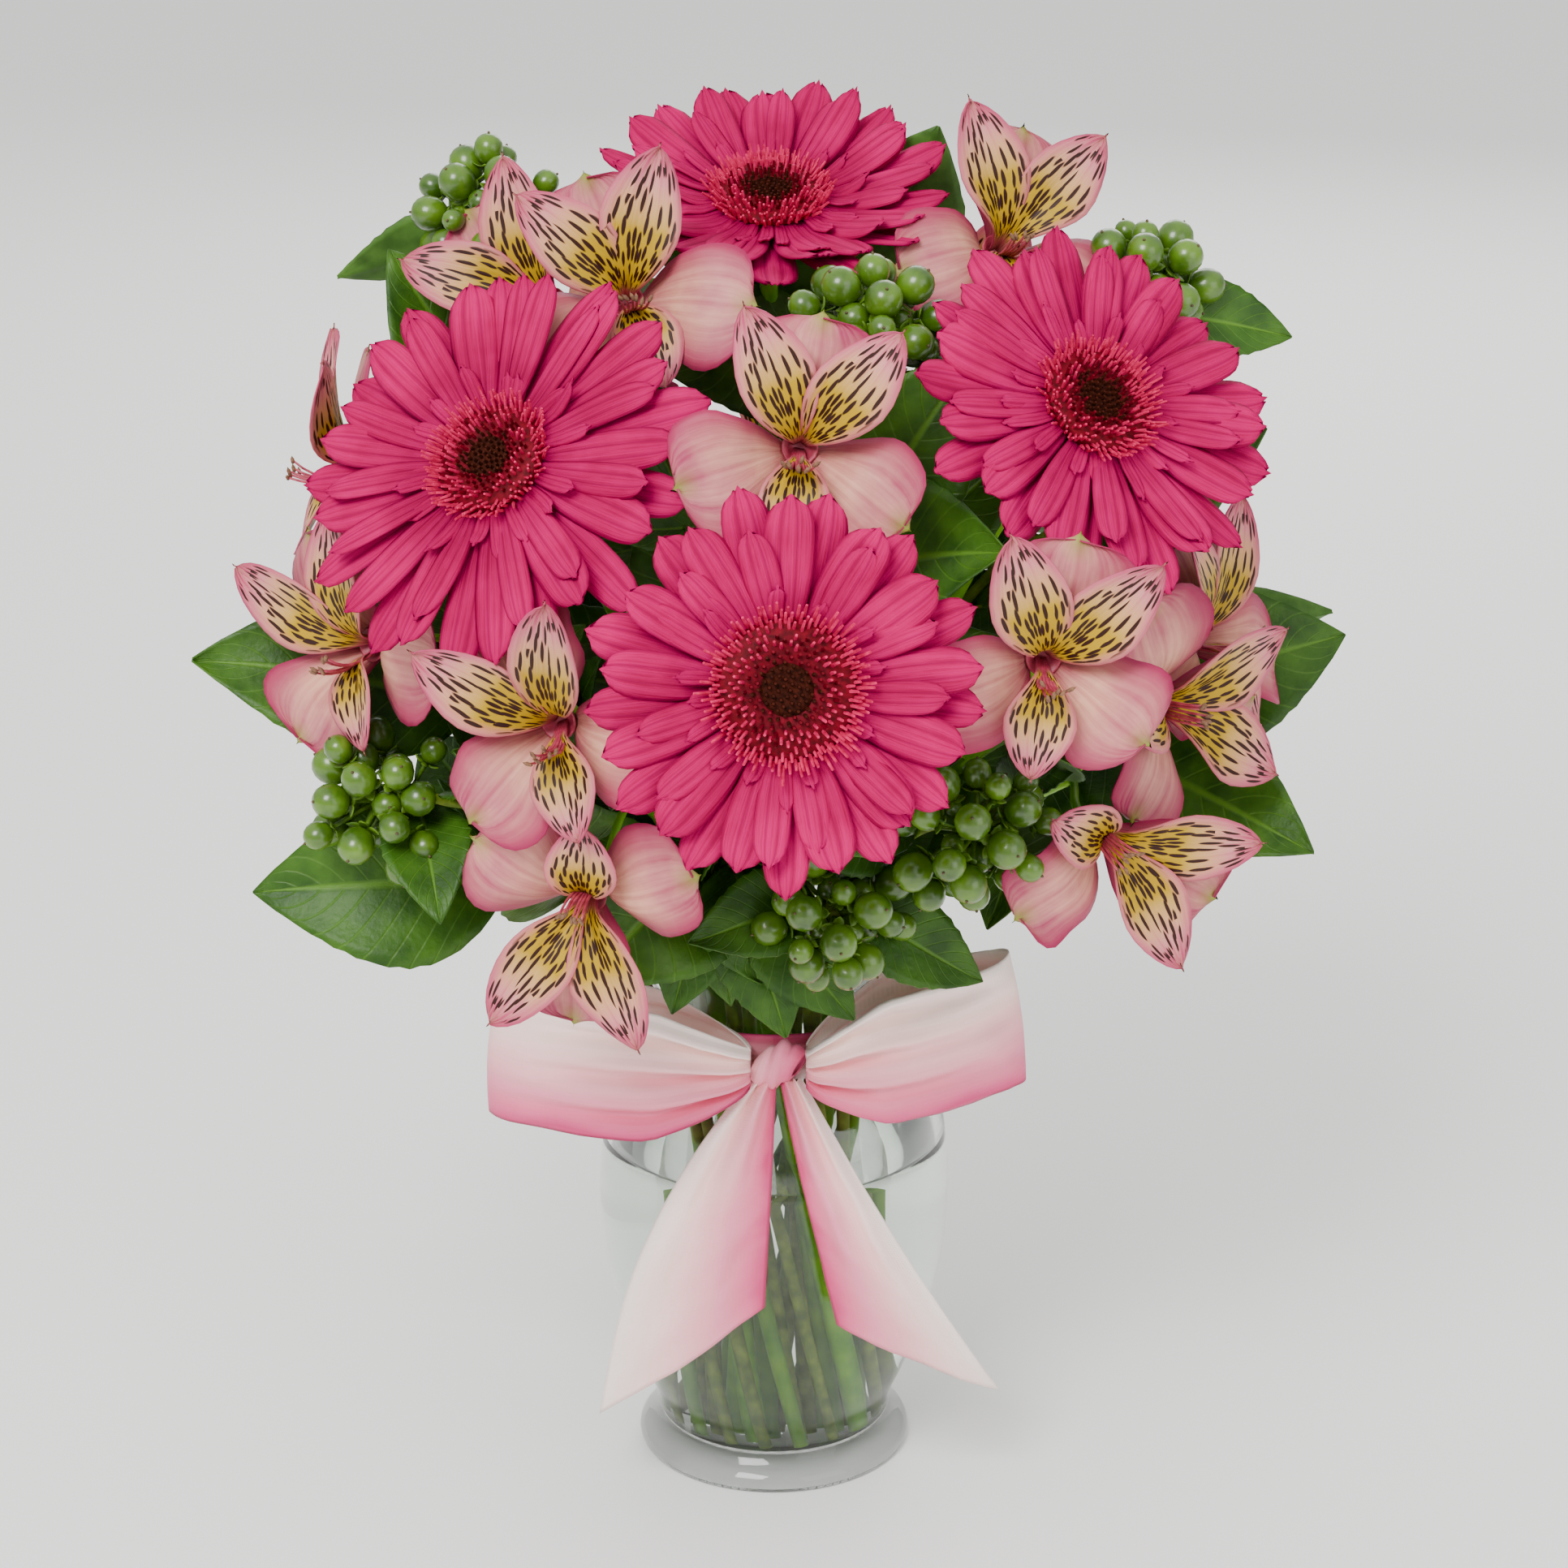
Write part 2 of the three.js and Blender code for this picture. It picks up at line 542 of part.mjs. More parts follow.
function gerberaFlower(head) {
  const frame = headFrame(head);
  const { reach, rays, petal } = GERBERA;
  const whorls = [
    { count: rays, shift: 0, to: reach + 2, rise: -1.8, lift: head.cup, width: petal },
    { count: rays, shift: 0.5, to: reach - 2, rise: 0.4, lift: head.cup + 6, width: petal },
  ];
  const { radius, bottom, top } = CORE;
  const core = turned([[0, bottom], [radius, bottom], [radius, top], [0, top]], 8, frame);
  return whole(join([core, ...whorls.map((whorl) => rayWhorl(frame, head, whorl))]));
}

// Alstroemerias: each stem ends in an umbel whose pedicels carry the flowers
const OVARY = 22;

function umbelStem(end, index) {
  const blooms = ALSTROEMERIAS.filter(({ stem }) => stem === index);
  const root = new THREE.Vector3(...end);
  const middle = new THREE.Vector3();
  blooms.forEach(({ at }) => middle.add(new THREE.Vector3(...at)).sub(root));
  middle.normalize();
  const stem = growStem(`alstroemeria_stem_${index + 1}`, root, middle, STEMS.alstroemeria).solid;
  const pedicels = blooms.map((bloom) => {
    const foot = new THREE.Vector3(0, 0, -OVARY - 1.5 * GAP).applyMatrix4(headFrame(bloom));
    const start = root.clone().addScaledVector(middle, -2.5);
    const reach = start.distanceTo(foot);
    const curve = new THREE.CubicBezierCurve3(
      start,
      start.clone().addScaledVector(middle, 0.4 * reach),
      foot.clone().addScaledVector(direction(bloom.look), -0.4 * reach),
      foot,
    );
    return tube(curve, 1.3, 4, 3);
  });
  return join([stem, ...pedicels]);
}

const TEPAL_BENDS = [0, 10, -10, 20, -20, 32, -30, 45, -42];
// The lowest of the three inner tepals is shorter than the two above it.
const LOWEST = 270;

// A tepal runs up the throat and then opens: bend lifts its outer part, which shrink shortens.
function tepal(frame, { inner, angle, bend, shrink }) {
  const { depth, reach, innerReach, outerWidth, innerWidth, thickness } = ALSTROEMERIA;
  const width = inner ? innerWidth : outerWidth;
  const tilt = Math.tan(THREE.MathUtils.degToRad(bend));
  const claw = inner ? [1.6, 4 - depth] : [3.1, 1 - depth];
  const limb = inner ? [[17, 7], [innerReach, 13]] : [[20, 3], [reach, 1]];
  const [bendAt, bendHeight] = inner ? [5, -1] : [8.5, -4];
  const opened = limb.map(([along, height]) => {
    const out = (along - bendAt) * shrink;
    return [bendAt + out, bendHeight + (height - bendHeight) * shrink + out * tilt];
  });
  const points = [claw, ...opened];
  const widths = [0.12, 1, 0.34].map((share) => (share * width) / 2);
  const last = points.length - 1;
  const line = (v) => {
    const i = Math.min(last - 1, Math.floor(v * last + 1e-6));
    const share = v * last - i;
    return [0, 1].map((axis) => THREE.MathUtils.lerp(points[i][axis], points[i + 1][axis], share));
  };
  const stations = points.map((_, i) => i / last);
  const half = (v) => widths[Math.round(v * last)];
  return blade(petalFrame(frame, angle), { stations, columns: 1, thickness, line, half });
}

function alstroemeriaFlower(bloom) {
  const frame = headFrame(bloom);
  const { depth } = ALSTROEMERIA;
  const ovary = turned([[0, -OVARY], [2, -OVARY], [4.4, 1 - depth], [0, 6 - depth]], 5, frame);
  const whorl = [[90, false], [208, false], [332, false], [58, true], [122, true], [LOWEST, true]];
  const tepals = whorl.map(([degrees, inner]) => {
    const angle = THREE.MathUtils.degToRad(degrees);
    const shrinks = degrees === LOWEST ? [0.72, 0.6] : [1, 0.8, 0.62];
    const choices = shrinks.flatMap((shrink) => TEPAL_BENDS.map((bend) => ({ inner, angle, bend, shrink })));
    return firstClear(choices, (choice) => tepal(frame, choice));
  });
  return whole(join([ovary, ...tepals]));
}

// Hypericum: a woody stem whose top carries tiers of berries, each on its own stalk
function berryOnStalk(root, aim, stalk) {
  const { radius, length } = BERRY;
  const profile = [
    [0, 0], [0.9, stalk], [radius, stalk + length * 0.35], [radius * 0.8, stalk + length * 0.74],
    [0, stalk + length],
  ];
  const turn = new THREE.Quaternion().setFromUnitVectors(UP, aim);
  return turned(profile, 5, new THREE.Matrix4().compose(root, turn, new THREE.Vector3(1, 1, 1)));
}

function hypericumSpray(spray, index) {
  const facing = direction(spray.look);
  const top = new THREE.Vector3(...spray.at);
  const frame = headFrame(spray);
  const stem = growStem(`hypericum_${index + 1}`, top, facing, STEMS.hypericum);
  const berries = [];
  for (const { below, lean, count, stalk } of BERRY_TIERS) {
    for (let i = 0; i < count; i += 1) {
      const shift = draw(0, 1);
      const root = stem.curve.below(below);
      const choices = [0, 0.25, -0.25, 0.5].flatMap((nudge) => [lean, lean - 14, lean + 14].map((tilt) => {
        const turn = ((i + nudge + shift * 0.2 + below * 0.13) / count) * 2 * Math.PI;
        const aside = THREE.MathUtils.degToRad(tilt);
        const aim = new THREE.Vector3(
          Math.cos(turn) * Math.sin(aside), Math.sin(turn) * Math.sin(aside), Math.cos(aside));
        return aim.transformDirection(frame);
      }));
      const free = (berry) => isClear(berry)
        && berries.every((other) => berry.intersect(other).volume() < 0.3);
      const berry = choices.map((aim) => berryOnStalk(root, aim, stalk)).find(free);
      if (berry) berries.push(berry);
    }
  }
  const leaves = spray.leaves.map((tip, leaf) => clearLeaf(stem.curve.below(16 + 4 * leaf), tip, BERRY_LEAF));
  return whole(join([stem.solid, ...berries, ...leaves]));
}

const LEAF_TURNS = [0, 12, -12, 24, -24, 38, -38, 55, -55];

// Salal: a woody stem with pointed leaves, each on a short stalk, arched and folded along its midrib
function salalSprig(sprig, index) {
  const end = new THREE.Vector3(...sprig.end);
  const first = new THREE.Vector3(...sprig.tips[0]);
  const arrival = first.clone().sub(end).normalize();
  const { curve, solid } = growStem(`salal_${index + 1}`, end, arrival, STEMS.salal);
  const pieces = [solid];
  sprig.tips.forEach((tip, leaf) => pieces.push(clearLeaf(curve.below(2 + 9 * leaf), tip, LEAF)));
  return whole(join(pieces));
}

// A leaf is turned about its own length, and then made smaller, until it lies clear.
function clearLeaf(base, tip, size) {
  const choices = [1, 0.86, 0.72, 0.6].flatMap((shrink) => LEAF_TURNS.map((turn) => ({ turn, shrink })));
  return firstClear(choices, (choice) => leafBlade(base, tip, choice, size));
}

function leafBlade(base, tip, { turn, shrink }, size) {
  const along = new THREE.Vector3(...tip).sub(base);
  const length = along.length() * shrink;
  along.normalize();
  const outward = new THREE.Vector3(0, tip[1] < 40 ? -1 : 1, 0.7);
  const side = new THREE.Vector3().crossVectors(outward, along).normalize();
  const face = new THREE.Vector3().crossVectors(along, side);
  const frame = new THREE.Matrix4().makeBasis(along, side, face).setPosition(base);
  frame.multiply(new THREE.Matrix4().makeRotationX(THREE.MathUtils.degToRad(turn)));
  const stalk = Math.max(0.08, 1 - size.length / length);
  const stations = [0, ...[0.3, 0.68, 1].map((share) => stalk + (1 - stalk) * share)];
  const widths = [2.4, size.width * 0.92, size.width * 0.74, 1.4].map((width) => (width / 2) * shrink);
  const half = (v) => widths[stations.findIndex((station) => station >= v - 1e-6)];
  const arch = size.width * 0.24;
  const line = (v) => [length * v, arch * Math.sin(Math.PI * v) * (1 - 0.5 * v)];
  const cup = (v) => 0.1 * size.width * Math.sin(Math.PI * v);
  return blade(frame, { stations, columns: 2, thickness: size.thickness, line, half, cup });
}

GERBERAS.forEach(
  (head, i) => place(`gerbera_${i + 1}_stem`, 'gerberaStem', gerberaStem(head, `gerbera_${i + 1}`)));
UMBELS.forEach((end, i) => place(`alstroemeria_stem_${i + 1}`, 'alstroemeriaStem', umbelStem(end, i)));
GERBERAS.forEach((head, i) => {
  place(`gerbera_${i + 1}_petals`, 'petal', gerberaFlower(head));
  place(`gerbera_${i + 1}_disc`, 'disc', gerberaDisc(head));
});
ALSTROEMERIAS.forEach((bloom, i) => place(`alstroemeria_${i + 1}`, 'alstroemeria', alstroemeriaFlower(bloom)));
HYPERICUMS.forEach((spray, i) => place(`hypericum_${i + 1}`, 'hypericum', hypericumSpray(spray, i)));
SALALS.forEach((sprig, i) => place(`salal_${i + 1}`, 'salal', salalSprig(sprig, i)));

// Water, from the floor of the vase to its level, with a plain hole for each stem
function makeWater() {
  const below = [...innerWall].reverse().filter(([, z]) => z < WATER_LEVEL - 4);
  const wall = below.map(([radius, z]) => [radius - 2 * GAP, z]);
  const bottom = VASE_FLOOR + GAP;
  const foot = innerWall.at(-1)[0] - 3;
  const top = outerRadius(WATER_LEVEL) - VASE_WALL - 2 * GAP;
  const profile = [[0, bottom], [foot, bottom], ...wall, [top, WATER_LEVEL], [0, WATER_LEVEL]];
  const body = turned(profile, WATER_SIDES, new THREE.Matrix4());
  return stemHoles.reduce((water, hole) => water.subtract(hole), body);
}
place('water', 'water', makeWater());

export default object;
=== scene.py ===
"""Gerberas in a clear glass vase, with alstroemeria, hypericum berries, salal leaves and a ribbon bow.

Shapes are worked out in millimetres in the part's own frame and become metres when a piece is finished.
"""
import math
import random

import bmesh
import bpy
from mathutils import Matrix, Vector, noise
from mathutils.bvhtree import BVHTree
from mathutils.kdtree import KDTree


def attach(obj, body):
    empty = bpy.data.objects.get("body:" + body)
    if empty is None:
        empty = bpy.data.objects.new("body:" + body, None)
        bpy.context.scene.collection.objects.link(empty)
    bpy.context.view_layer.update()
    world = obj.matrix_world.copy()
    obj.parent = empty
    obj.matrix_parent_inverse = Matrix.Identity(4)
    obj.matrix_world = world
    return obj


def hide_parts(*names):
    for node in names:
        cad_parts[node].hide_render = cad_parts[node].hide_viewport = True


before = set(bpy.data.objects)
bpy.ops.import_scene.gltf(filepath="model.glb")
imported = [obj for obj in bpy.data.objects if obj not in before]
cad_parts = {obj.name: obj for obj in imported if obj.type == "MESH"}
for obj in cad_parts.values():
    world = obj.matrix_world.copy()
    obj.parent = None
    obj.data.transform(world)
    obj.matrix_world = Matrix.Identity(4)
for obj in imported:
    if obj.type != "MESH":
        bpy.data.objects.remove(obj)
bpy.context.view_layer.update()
MM = 0.001
UP = Vector((0, 0, 1))
TURN = 2 * math.pi
# A random wave starts anywhere within about one turn
ANY_PHASE = (0, 6.28)
random.seed(11)

# Camera: it looks down a little at the middle of the arrangement, as the photograph was taken
CAMERA_TARGET = Vector((0.0033, 0, 0.224))
CAMERA_DISTANCE = 1.25
CAMERA_ELEVATION = math.radians(20)
CAMERA_LENS = 93
SENSOR_WIDTH = 36
camera_data = bpy.data.cameras.new("camera")
camera_data.lens = CAMERA_LENS
camera_data.sensor_width = SENSOR_WIDTH
camera = bpy.data.objects.new("camera", camera_data)
backwards = Vector((0, -math.cos(CAMERA_ELEVATION), math.sin(CAMERA_ELEVATION)))
camera.location = CAMERA_TARGET + CAMERA_DISTANCE * backwards
camera.rotation_euler = (math.radians(90) - CAMERA_ELEVATION, 0, 0)
bpy.context.scene.collection.objects.link(camera)
bpy.context.scene.camera = camera

# Sizes and places, in millimetres and degrees, as the part's source gives them

# The vase's outline, as (height, radius)
VASE_OUTLINE = [
    (0, 43), (4.3, 43.3), (13, 37), (30, 43.5), (48, 49.8), (66, 54), (86, 55.6), (105, 54.8),
    (119, 52.6), (135, 45), (150, 38), (164, 40), (178, 47),
]
VASE_WALL = 3
VASE_FLOOR = 8
NECK_HEIGHT = 150
NECK_RADIUS = 38
WATER_LEVEL = 108
# A gerbera's reach, the radius from which its rays bend, and their number in a whorl and their width
GERBERA = {"reach": 55, "root": 21.5, "rays": 13, "petal": 13}
# How far the throat and the ovary of an alstroemeria bloom lie behind it
BLOOM_DEPTH = 16
OVARY = 22
# Berries stand in tiers: distance below the twig's top, lean outwards, number and length of stalk
BERRY_TIERS = [(1.5, 4, 1, 9), (3, 50, 4, 12), (9, 82, 4, 15)]
# A leaf's length and width
LEAF = (88, 50)
BERRY_LEAF = (58, 26)
# Each kind of stem has a radius, and a number of steps that the source bends it in
STEMS = {"gerbera": (3.1, 6), "alstroemeria": (2.1, 5), "hypericum": (1.9, 5), "salal": (1.7, 5)}
# Gerberas: place, where the head looks, turn, lift of its rays and size
GERBERAS = [
    ((-78, -74, 347), (-31, 37), 0, -5, 1.13), ((4, -146, 304), (2, 18), 6, 8, 0.98),
    ((91, -60, 360), (30, 40), 3, 0, 1), ((-1, 28, 400), (2, 68), 9, 19, 0.98),
]
# Alstroemeria blooms: stem, place, where the bloom looks and turn
ALSTROEMERIAS = [
    (0, (-42, -26, 384), (4, 26), -18), (0, (-69, 2, 376), (-24, 22), -50), (1, (8, -94, 357), (2, 16), 10),
    (2, (77, -106, 298), (8, 6), 13), (2, (118, -46, 265), (46, 4), 98), (3, (133, -10, 276), (62, 22), 0),
    (3, (100, -74, 232), (24, -6), 122), (4, (-54, -106, 225), (-12, -6), 186),
    (4, (-62, -106, 279), (-14, 6), -24), (5, (-123, -48, 284), (-40, 8), -32),
    (5, (-128, 2, 325), (-88, 14), 0), (6, (70, 14, 391), (22, 32), 20), (6, (62, 82, 352), (145, 34), 0),
    (7, (-62, 92, 318), (-150, 20), 10), (7, (4, 116, 292), (178, 12), -15),
]
# Where each of the alstroemeria's stems branches
UMBELS = [
    (-46, 2, 345), (2, -58, 335), (72, -58, 262), (88, -30, 236), (-42, -66, 242), (-86, -18, 272),
    (44, 36, 345), (-22, 66, 270),
]
# Hypericum twigs: top, where it looks and the tips of the leaves
HYPERICUMS = [
    ((-88, 34, 396), (-50, 45), [(-134, 50, 372)]), ((115, 20, 377), (60, 40), [(158, 30, 358)]),
    ((30, -36, 378), (10, 40), [(-4, -50, 362)]), ((-118, -58, 240), (-60, 5), [(-96, -92, 216)]),
    ((60, -84, 239), (32, -4), [(96, -58, 212), (44, -94, 250)]),
    ((18, -80, 212), (6, -16), [(63, -64, 185), (-24, -84, 206)]),
    ((64, 104, 290), (150, 10), [(100, 114, 270), (34, 132, 268)]),
]
# Salal twigs: top and the tips of the leaves
SALALS = [
    ((-88, -4, 248), [(-173, -25, 273), (-128, 62, 258)]),
    ((-76, -34, 205), [(-155, -50, 208), (-112, 44, 196), (-66, -74, 250)]),
    ((-10, -54, 266), [(-46, -94, 252), (-34, -38, 344), (40, -78, 262)]),
    ((-14, -50, 218), [(2, -73, 172), (-56, -74, 188)]),
    ((100, 36, 232), [(176, 46, 266), (162, -36, 216), (136, 88, 230)]),
    ((84, 14, 300), [(147, -2, 338), (134, 70, 318)]),
    ((24, 44, 350), [(50, 54, 418), (20, 112, 356)]),
    ((-80, 34, 312), [(-114, 24, 386), (-150, 8, 340), (-120, 86, 338)]),
    ((8, 62, 226), [(4, 140, 226), (74, 112, 220), (-72, 112, 222)]),
    ((26, -44, 316), [(62, -58, 384), (-26, -64, 330), (66, -92, 326)]),
]

# Leaves that the solids leave out, over the rim of the vase and at the sides: twig, tip, turn and size
SPARE_LEAVES = [
    (4, (-30, -68, 176), -10, (46, 27)), (4, (24, -70, 175), 14, (46, 27)), (4, (4, -67, 168), 0, (46, 27)),
    (4, (-13, -62, 176), 30, (46, 27)), (5, (178, 28, 264), 0, (70, 52)), (5, (66, -4, 178), 20, (64, 38)),
    (5, (56, -12, 200), 0, (56, 34)), (7, (-38, 24, 353), 0, (64, 44)), (7, (-36, 44, 384), 0, (64, 40)),
    (8, (-98, 10, 272), 0, (50, 34)), (2, (-108, 6, 238), 0, (56, 36)),
]

# The source's own seeded draw, so that the petals and berries here are the ones that stand in the solids
DRAW_FACTOR = 1664525
DRAW_STEP = 1013904223
DRAW_RANGE = 2 ** 32
draw_state = 7


def draw(low, high):
    global draw_state
    draw_state = (draw_state * DRAW_FACTOR + DRAW_STEP) % DRAW_RANGE
    return low + (high - low) * draw_state / DRAW_RANGE


# Materials

def linear(code):
    """A colour's sRGB hex code as the linear values that Blender takes."""
    parts = [int(code[i:i + 2], 16) / 255 for i in (1, 3, 5)]
    return (*[c / 12.92 if c <= 0.04045 else ((c + 0.055) / 1.055) ** 2.4 for c in parts], 1)


def add(tree, kind, inputs, output=0, stops=(), **settings):
    """Adds a node with its settings and links, and gives one of its outputs.

    An input is a value or another node's output; stops are the (position, hex code) pairs of a colour ramp.
    """
    node = tree.nodes.new("ShaderNode" + kind)
    for name, value in settings.items():
        setattr(node, name, value)
    for name, value in inputs.items():
        if isinstance(value, bpy.types.NodeSocket):
            tree.links.new(value, node.inputs[name])
        else:
            node.inputs[name].default_value = value
    for _ in stops[2:]:
        node.color_ramp.elements.new(0.5)
    for i, (position, code) in enumerate(stops):
        node.color_ramp.elements[i].position = position
        node.color_ramp.elements[i].color = linear(code)
    return node.outputs[output]


def new_material(name, **values):
    """A Principled material whose sockets are set directly; _ in a name stands for a space."""
    material = bpy.data.materials.new(name)
    material.use_nodes = True
    shader = material.node_tree.nodes["Principled BSDF"]
    for socket, value in values.items():
        shader.inputs[socket.replace("_", " ")].default_value = value
    return material, material.node_tree, shader


def dress(tree, shader, colour, layers, height, depth):
    """Lays each (share, colour) over the first colour, and gives the shader that and a relief in mm."""
    for share, over in layers:
        colour = add(tree, "Mix", {0: share, 6: colour, 7: over}, 2, data_type="RGBA")
    tree.links.new(colour, shader.inputs["Base Color"])
    relief = add(tree, "Bump", {"Height": height, "Distance": depth * MM, "Strength": 0.8})
    tree.links.new(relief, shader.inputs["Normal"])


def places_on_blade(tree):
    """The piece's own UV map: the whole of it, u across and v along."""
    uv = add(tree, "UVMap", {}, uv_map="UVMap")
    across = add(tree, "SeparateXYZ", {0: uv})
    return uv, across, across.node.outputs["Y"]


def off_midrib(tree, across):
    """How far a point lies to either side of a blade's middle, as a share of its half width."""
    signed = add(tree, "MapRange", {"Value": across, "To Min": -1.0})
    return add(tree, "Math", {0: signed}, operation="ABSOLUTE")


def mottle(tree, per_millimetre, stops):
    """Cloudy patches of two shades, as their height and their colour."""
    place = add(tree, "TexCoord", {}, "Object")
    cloud = add(tree, "TexNoise", {"Vector": place, "Scale": per_millimetre / MM, "Detail": 3})
    return cloud, add(tree, "ValToRGB", {0: cloud}, stops=stops)


def streak(tree, uv, scale, detail, stops):
    """Fine lines that run along a blade, as their height and their colour."""
    drawn_out = add(tree, "Mapping", {"Vector": uv, "Scale": scale})
    lines = add(tree, "TexNoise", {"Vector": drawn_out, "Scale": 1, "Detail": detail})
    return lines, add(tree, "ValToRGB", {0: lines}, stops=stops)


def ray_petal_material():
    # Gerbera ray, thin fresh tissue: soft and unglossy; its rose deepens towards the root, partly its own
    # colour and partly painted shade under the disc, and is lightest at the tip, partly a painted highlight;
    # painted shade darkens its grooves and edges
    material, tree, shader = new_material("gerbera_ray_petal", Roughness=0.7, Specular_IOR_Level=0.05)
    uv, across, along = places_on_blade(tree)
    # Darkest at the root and lightest at the tip: partly the ray's own colour, partly painted shade near the
    # disc and a painted highlight at the tip
    base = add(tree, "ValToRGB", {0: along}, stops=[
        (0, "#4A031C"), (0.2, "#820030"), (0.5, "#A80044"), (1, "#C20058")])
    fibres, veins = streak(tree, uv, (30, 2.2, 1), 2, [(0.32, "#78002E"), (0.68, "#D20072")])
    _, patches = mottle(tree, 0.05, [(0.35, "#820030"), (0.65, "#D8006C")])
    # The ray has three ribs, so a crease lies at each third of its width and at its edges; painted shade
    # darkens each crease and edge
    ribs = add(tree, "Math", {0: across, 1: 3.0}, operation="MULTIPLY")
    ribs = add(tree, "Math", {0: ribs, 1: 0.5}, operation="PINGPONG")
    painted_groove_shade = add(tree, "MapRange", {"Value": ribs, "From Min": 0.16, "From Max": 0.0, "To Max": 0.5})
    dress(tree, shader, base, [(0.45, veins), (0.32, patches), (painted_groove_shade, linear("#620026"))], fibres, 0.35)
    return material


def plain_plant_material(name, dark, light, per_millimetre, roughness, depth=0.1, **values):
    """Plant tissue of two mottled shades with a fine relief; the mottling is in cells per millimetre."""
    material, tree, shader = new_material(name, Roughness=roughness, **values)
    grain, colour = mottle(tree, per_millimetre, [(0.3, dark), (0.7, light)])
    dress(tree, shader, colour, [], grain, depth)
    return material


def outer_tepal_material():
    # Alstroemeria outer tepal, silky: a pale blush middle, faint veins, rosy edges and tip, and a green point
    material, tree, shader = new_material("alstroemeria_outer_tepal", Roughness=0.5, Specular_IOR_Level=0.25)
    uv, across, along = places_on_blade(tree)
    side = off_midrib(tree, across)
    base = add(tree, "ValToRGB", {0: along}, stops=[
        (0, "#7C1434"), (0.16, "#A04048"), (0.42, "#D69478"), (0.66, "#C06A70"), (0.86, "#A42856"),
        (1, "#8A0A3A")])
    _, patches = mottle(tree, 0.08, [(0.38, "#962654"), (0.6, "#E6A88E")])
    fibres, veins = streak(tree, uv, (16, 1.6, 1), 4, [(0.36, "#962C54"), (0.6, "#F0B8A4")])
    edge = add(tree, "MapRange", {"Value": side, "From Min": 0.3, "From Max": 1.0})
    tip = add(tree, "MapRange", {"Value": along, "From Min": 0.74, "From Max": 0.97})
    middle = add(tree, "MapRange", {"Value": side, "From Min": 0.34, "From Max": 0.04})
    point = add(tree, "Math", {0: tip, 1: middle}, operation="MULTIPLY")
    dress(tree, shader, base, [
        (0.3, patches), (0.24, veins), (edge, linear("#A02050")), (point, linear("#7C9420"))], fibres, 0.5)
    return material


def inner_tepal_material():
    # Alstroemeria inner tepal, silky: a yellow flare on cream, rosy at its edge and tip, with maroon dashes
    material, tree, shader = new_material("alstroemeria_inner_tepal", Roughness=0.5, Specular_IOR_Level=0.25)
    uv, across, along = places_on_blade(tree)
    side = off_midrib(tree, across)
    base = add(tree, "ValToRGB", {0: along}, stops=[
        (0, "#7C142C"), (0.13, "#A43040"), (0.28, "#D4A058"), (0.6, "#ECB494"), (0.74, "#D07880"),
        (0.86, "#B43060"), (1, "#8E0838")])
    flare = add(tree, "ValToRGB", {0: along}, stops=[
        (0.14, "#000000"), (0.22, "#FFFFFF"), (0.56, "#FFFFFF"), (0.76, "#000000")])
    within = add(tree, "MapRange", {"Value": side, "From Min": 1.0, "From Max": 0.66})
    flare = add(tree, "Math", {0: flare, 1: within}, operation="MULTIPLY")
    edge = add(tree, "MapRange", {"Value": side, "From Min": 0.6, "From Max": 1.0, "To Max": 0.8})
    fibres, veins = streak(tree, uv, (22, 1.6, 1), 2, [(0.36, "#B45868"), (0.64, "#F6D8A8")])
    # Each dash is about 1 mm wide and 5 mm long; most of the 1.3 by 5 mm cells near the flare carry one
    cells = add(tree, "Mapping", {"Vector": uv, "Scale": (15, 8, 1)})
    cells = {"Vector": cells, "Scale": 1, "Randomness": 0.85}
    cell = add(tree, "TexVoronoi", cells, "Distance", voronoi_dimensions="2D")
    dash = add(tree, "MapRange", {"Value": cell, "From Min": 0.44, "From Max": 0.34})
    chance = add(tree, "SeparateColor", {0: cell.node.outputs["Color"]})
    missing = add(tree, "MapRange", {
        "Value": along, "From Min": 0.4, "From Max": 0.9, "To Min": 0.1, "To Max": 0.5})
    kept = add(tree, "Math", {0: chance, 1: missing}, operation="GREATER_THAN")
    zone = add(tree, "ValToRGB", {0: along}, stops=[
        (0.13, "#000000"), (0.2, "#FFFFFF"), (0.84, "#FFFFFF"), (0.92, "#000000")])
    inside = add(tree, "MapRange", {"Value": side, "From Min": 0.94, "From Max": 0.84})
    ink = dash
    for mask in (kept, zone, inside):
        ink = add(tree, "Math", {0: ink, 1: mask}, operation="MULTIPLY")
    dress(tree, shader, base, [
        (0.2, veins), (flare, linear("#B49000")), (edge, linear("#B83E66")), (ink, linear("#2C0C06"))],
        fibres, 0.4)
    return material


def leaf_material(name, dark, light):
    # A leathery leaf with a waxy gloss, a paler midrib and arching side veins
    material, tree, shader = new_material(name, Roughness=0.45, Specular_IOR_Level=0.25)
    _, across, along = places_on_blade(tree)
    side = off_midrib(tree, across)
    slant = add(tree, "Math", {0: side, 1: -2.6}, operation="MULTIPLY")
    slant = add(tree, "Math", {0: along, 1: 11.0, 2: slant}, operation="MULTIPLY_ADD")
    slant = add(tree, "Math", {0: slant, 1: 0.5}, operation="PINGPONG")
    vein = add(tree, "MapRange", {"Value": slant, "From Min": 0.08, "From Max": 0.0, "To Max": 0.5})
    rib = add(tree, "MapRange", {"Value": side, "From Min": 0.07, "From Max": 0.02})
    lines = add(tree, "Math", {0: vein, 1: rib}, operation="MAXIMUM")
    paler = add(tree, "Math", {0: lines, 1: 0.58}, operation="MULTIPLY")
    _, base = mottle(tree, 0.09, [(0.3, dark), (0.7, light)])
    place = add(tree, "TexCoord", {}, "Object")
    net = add(tree, "TexNoise", {"Vector": place, "Scale": 0.5 / MM, "Detail": 3})
    height = add(tree, "Math", {0: lines, 1: -1.0, 2: net}, operation="MULTIPLY_ADD")
    dress(tree, shader, base, [(paler, linear("#5E8A26"))], height, 0.3)
    return material


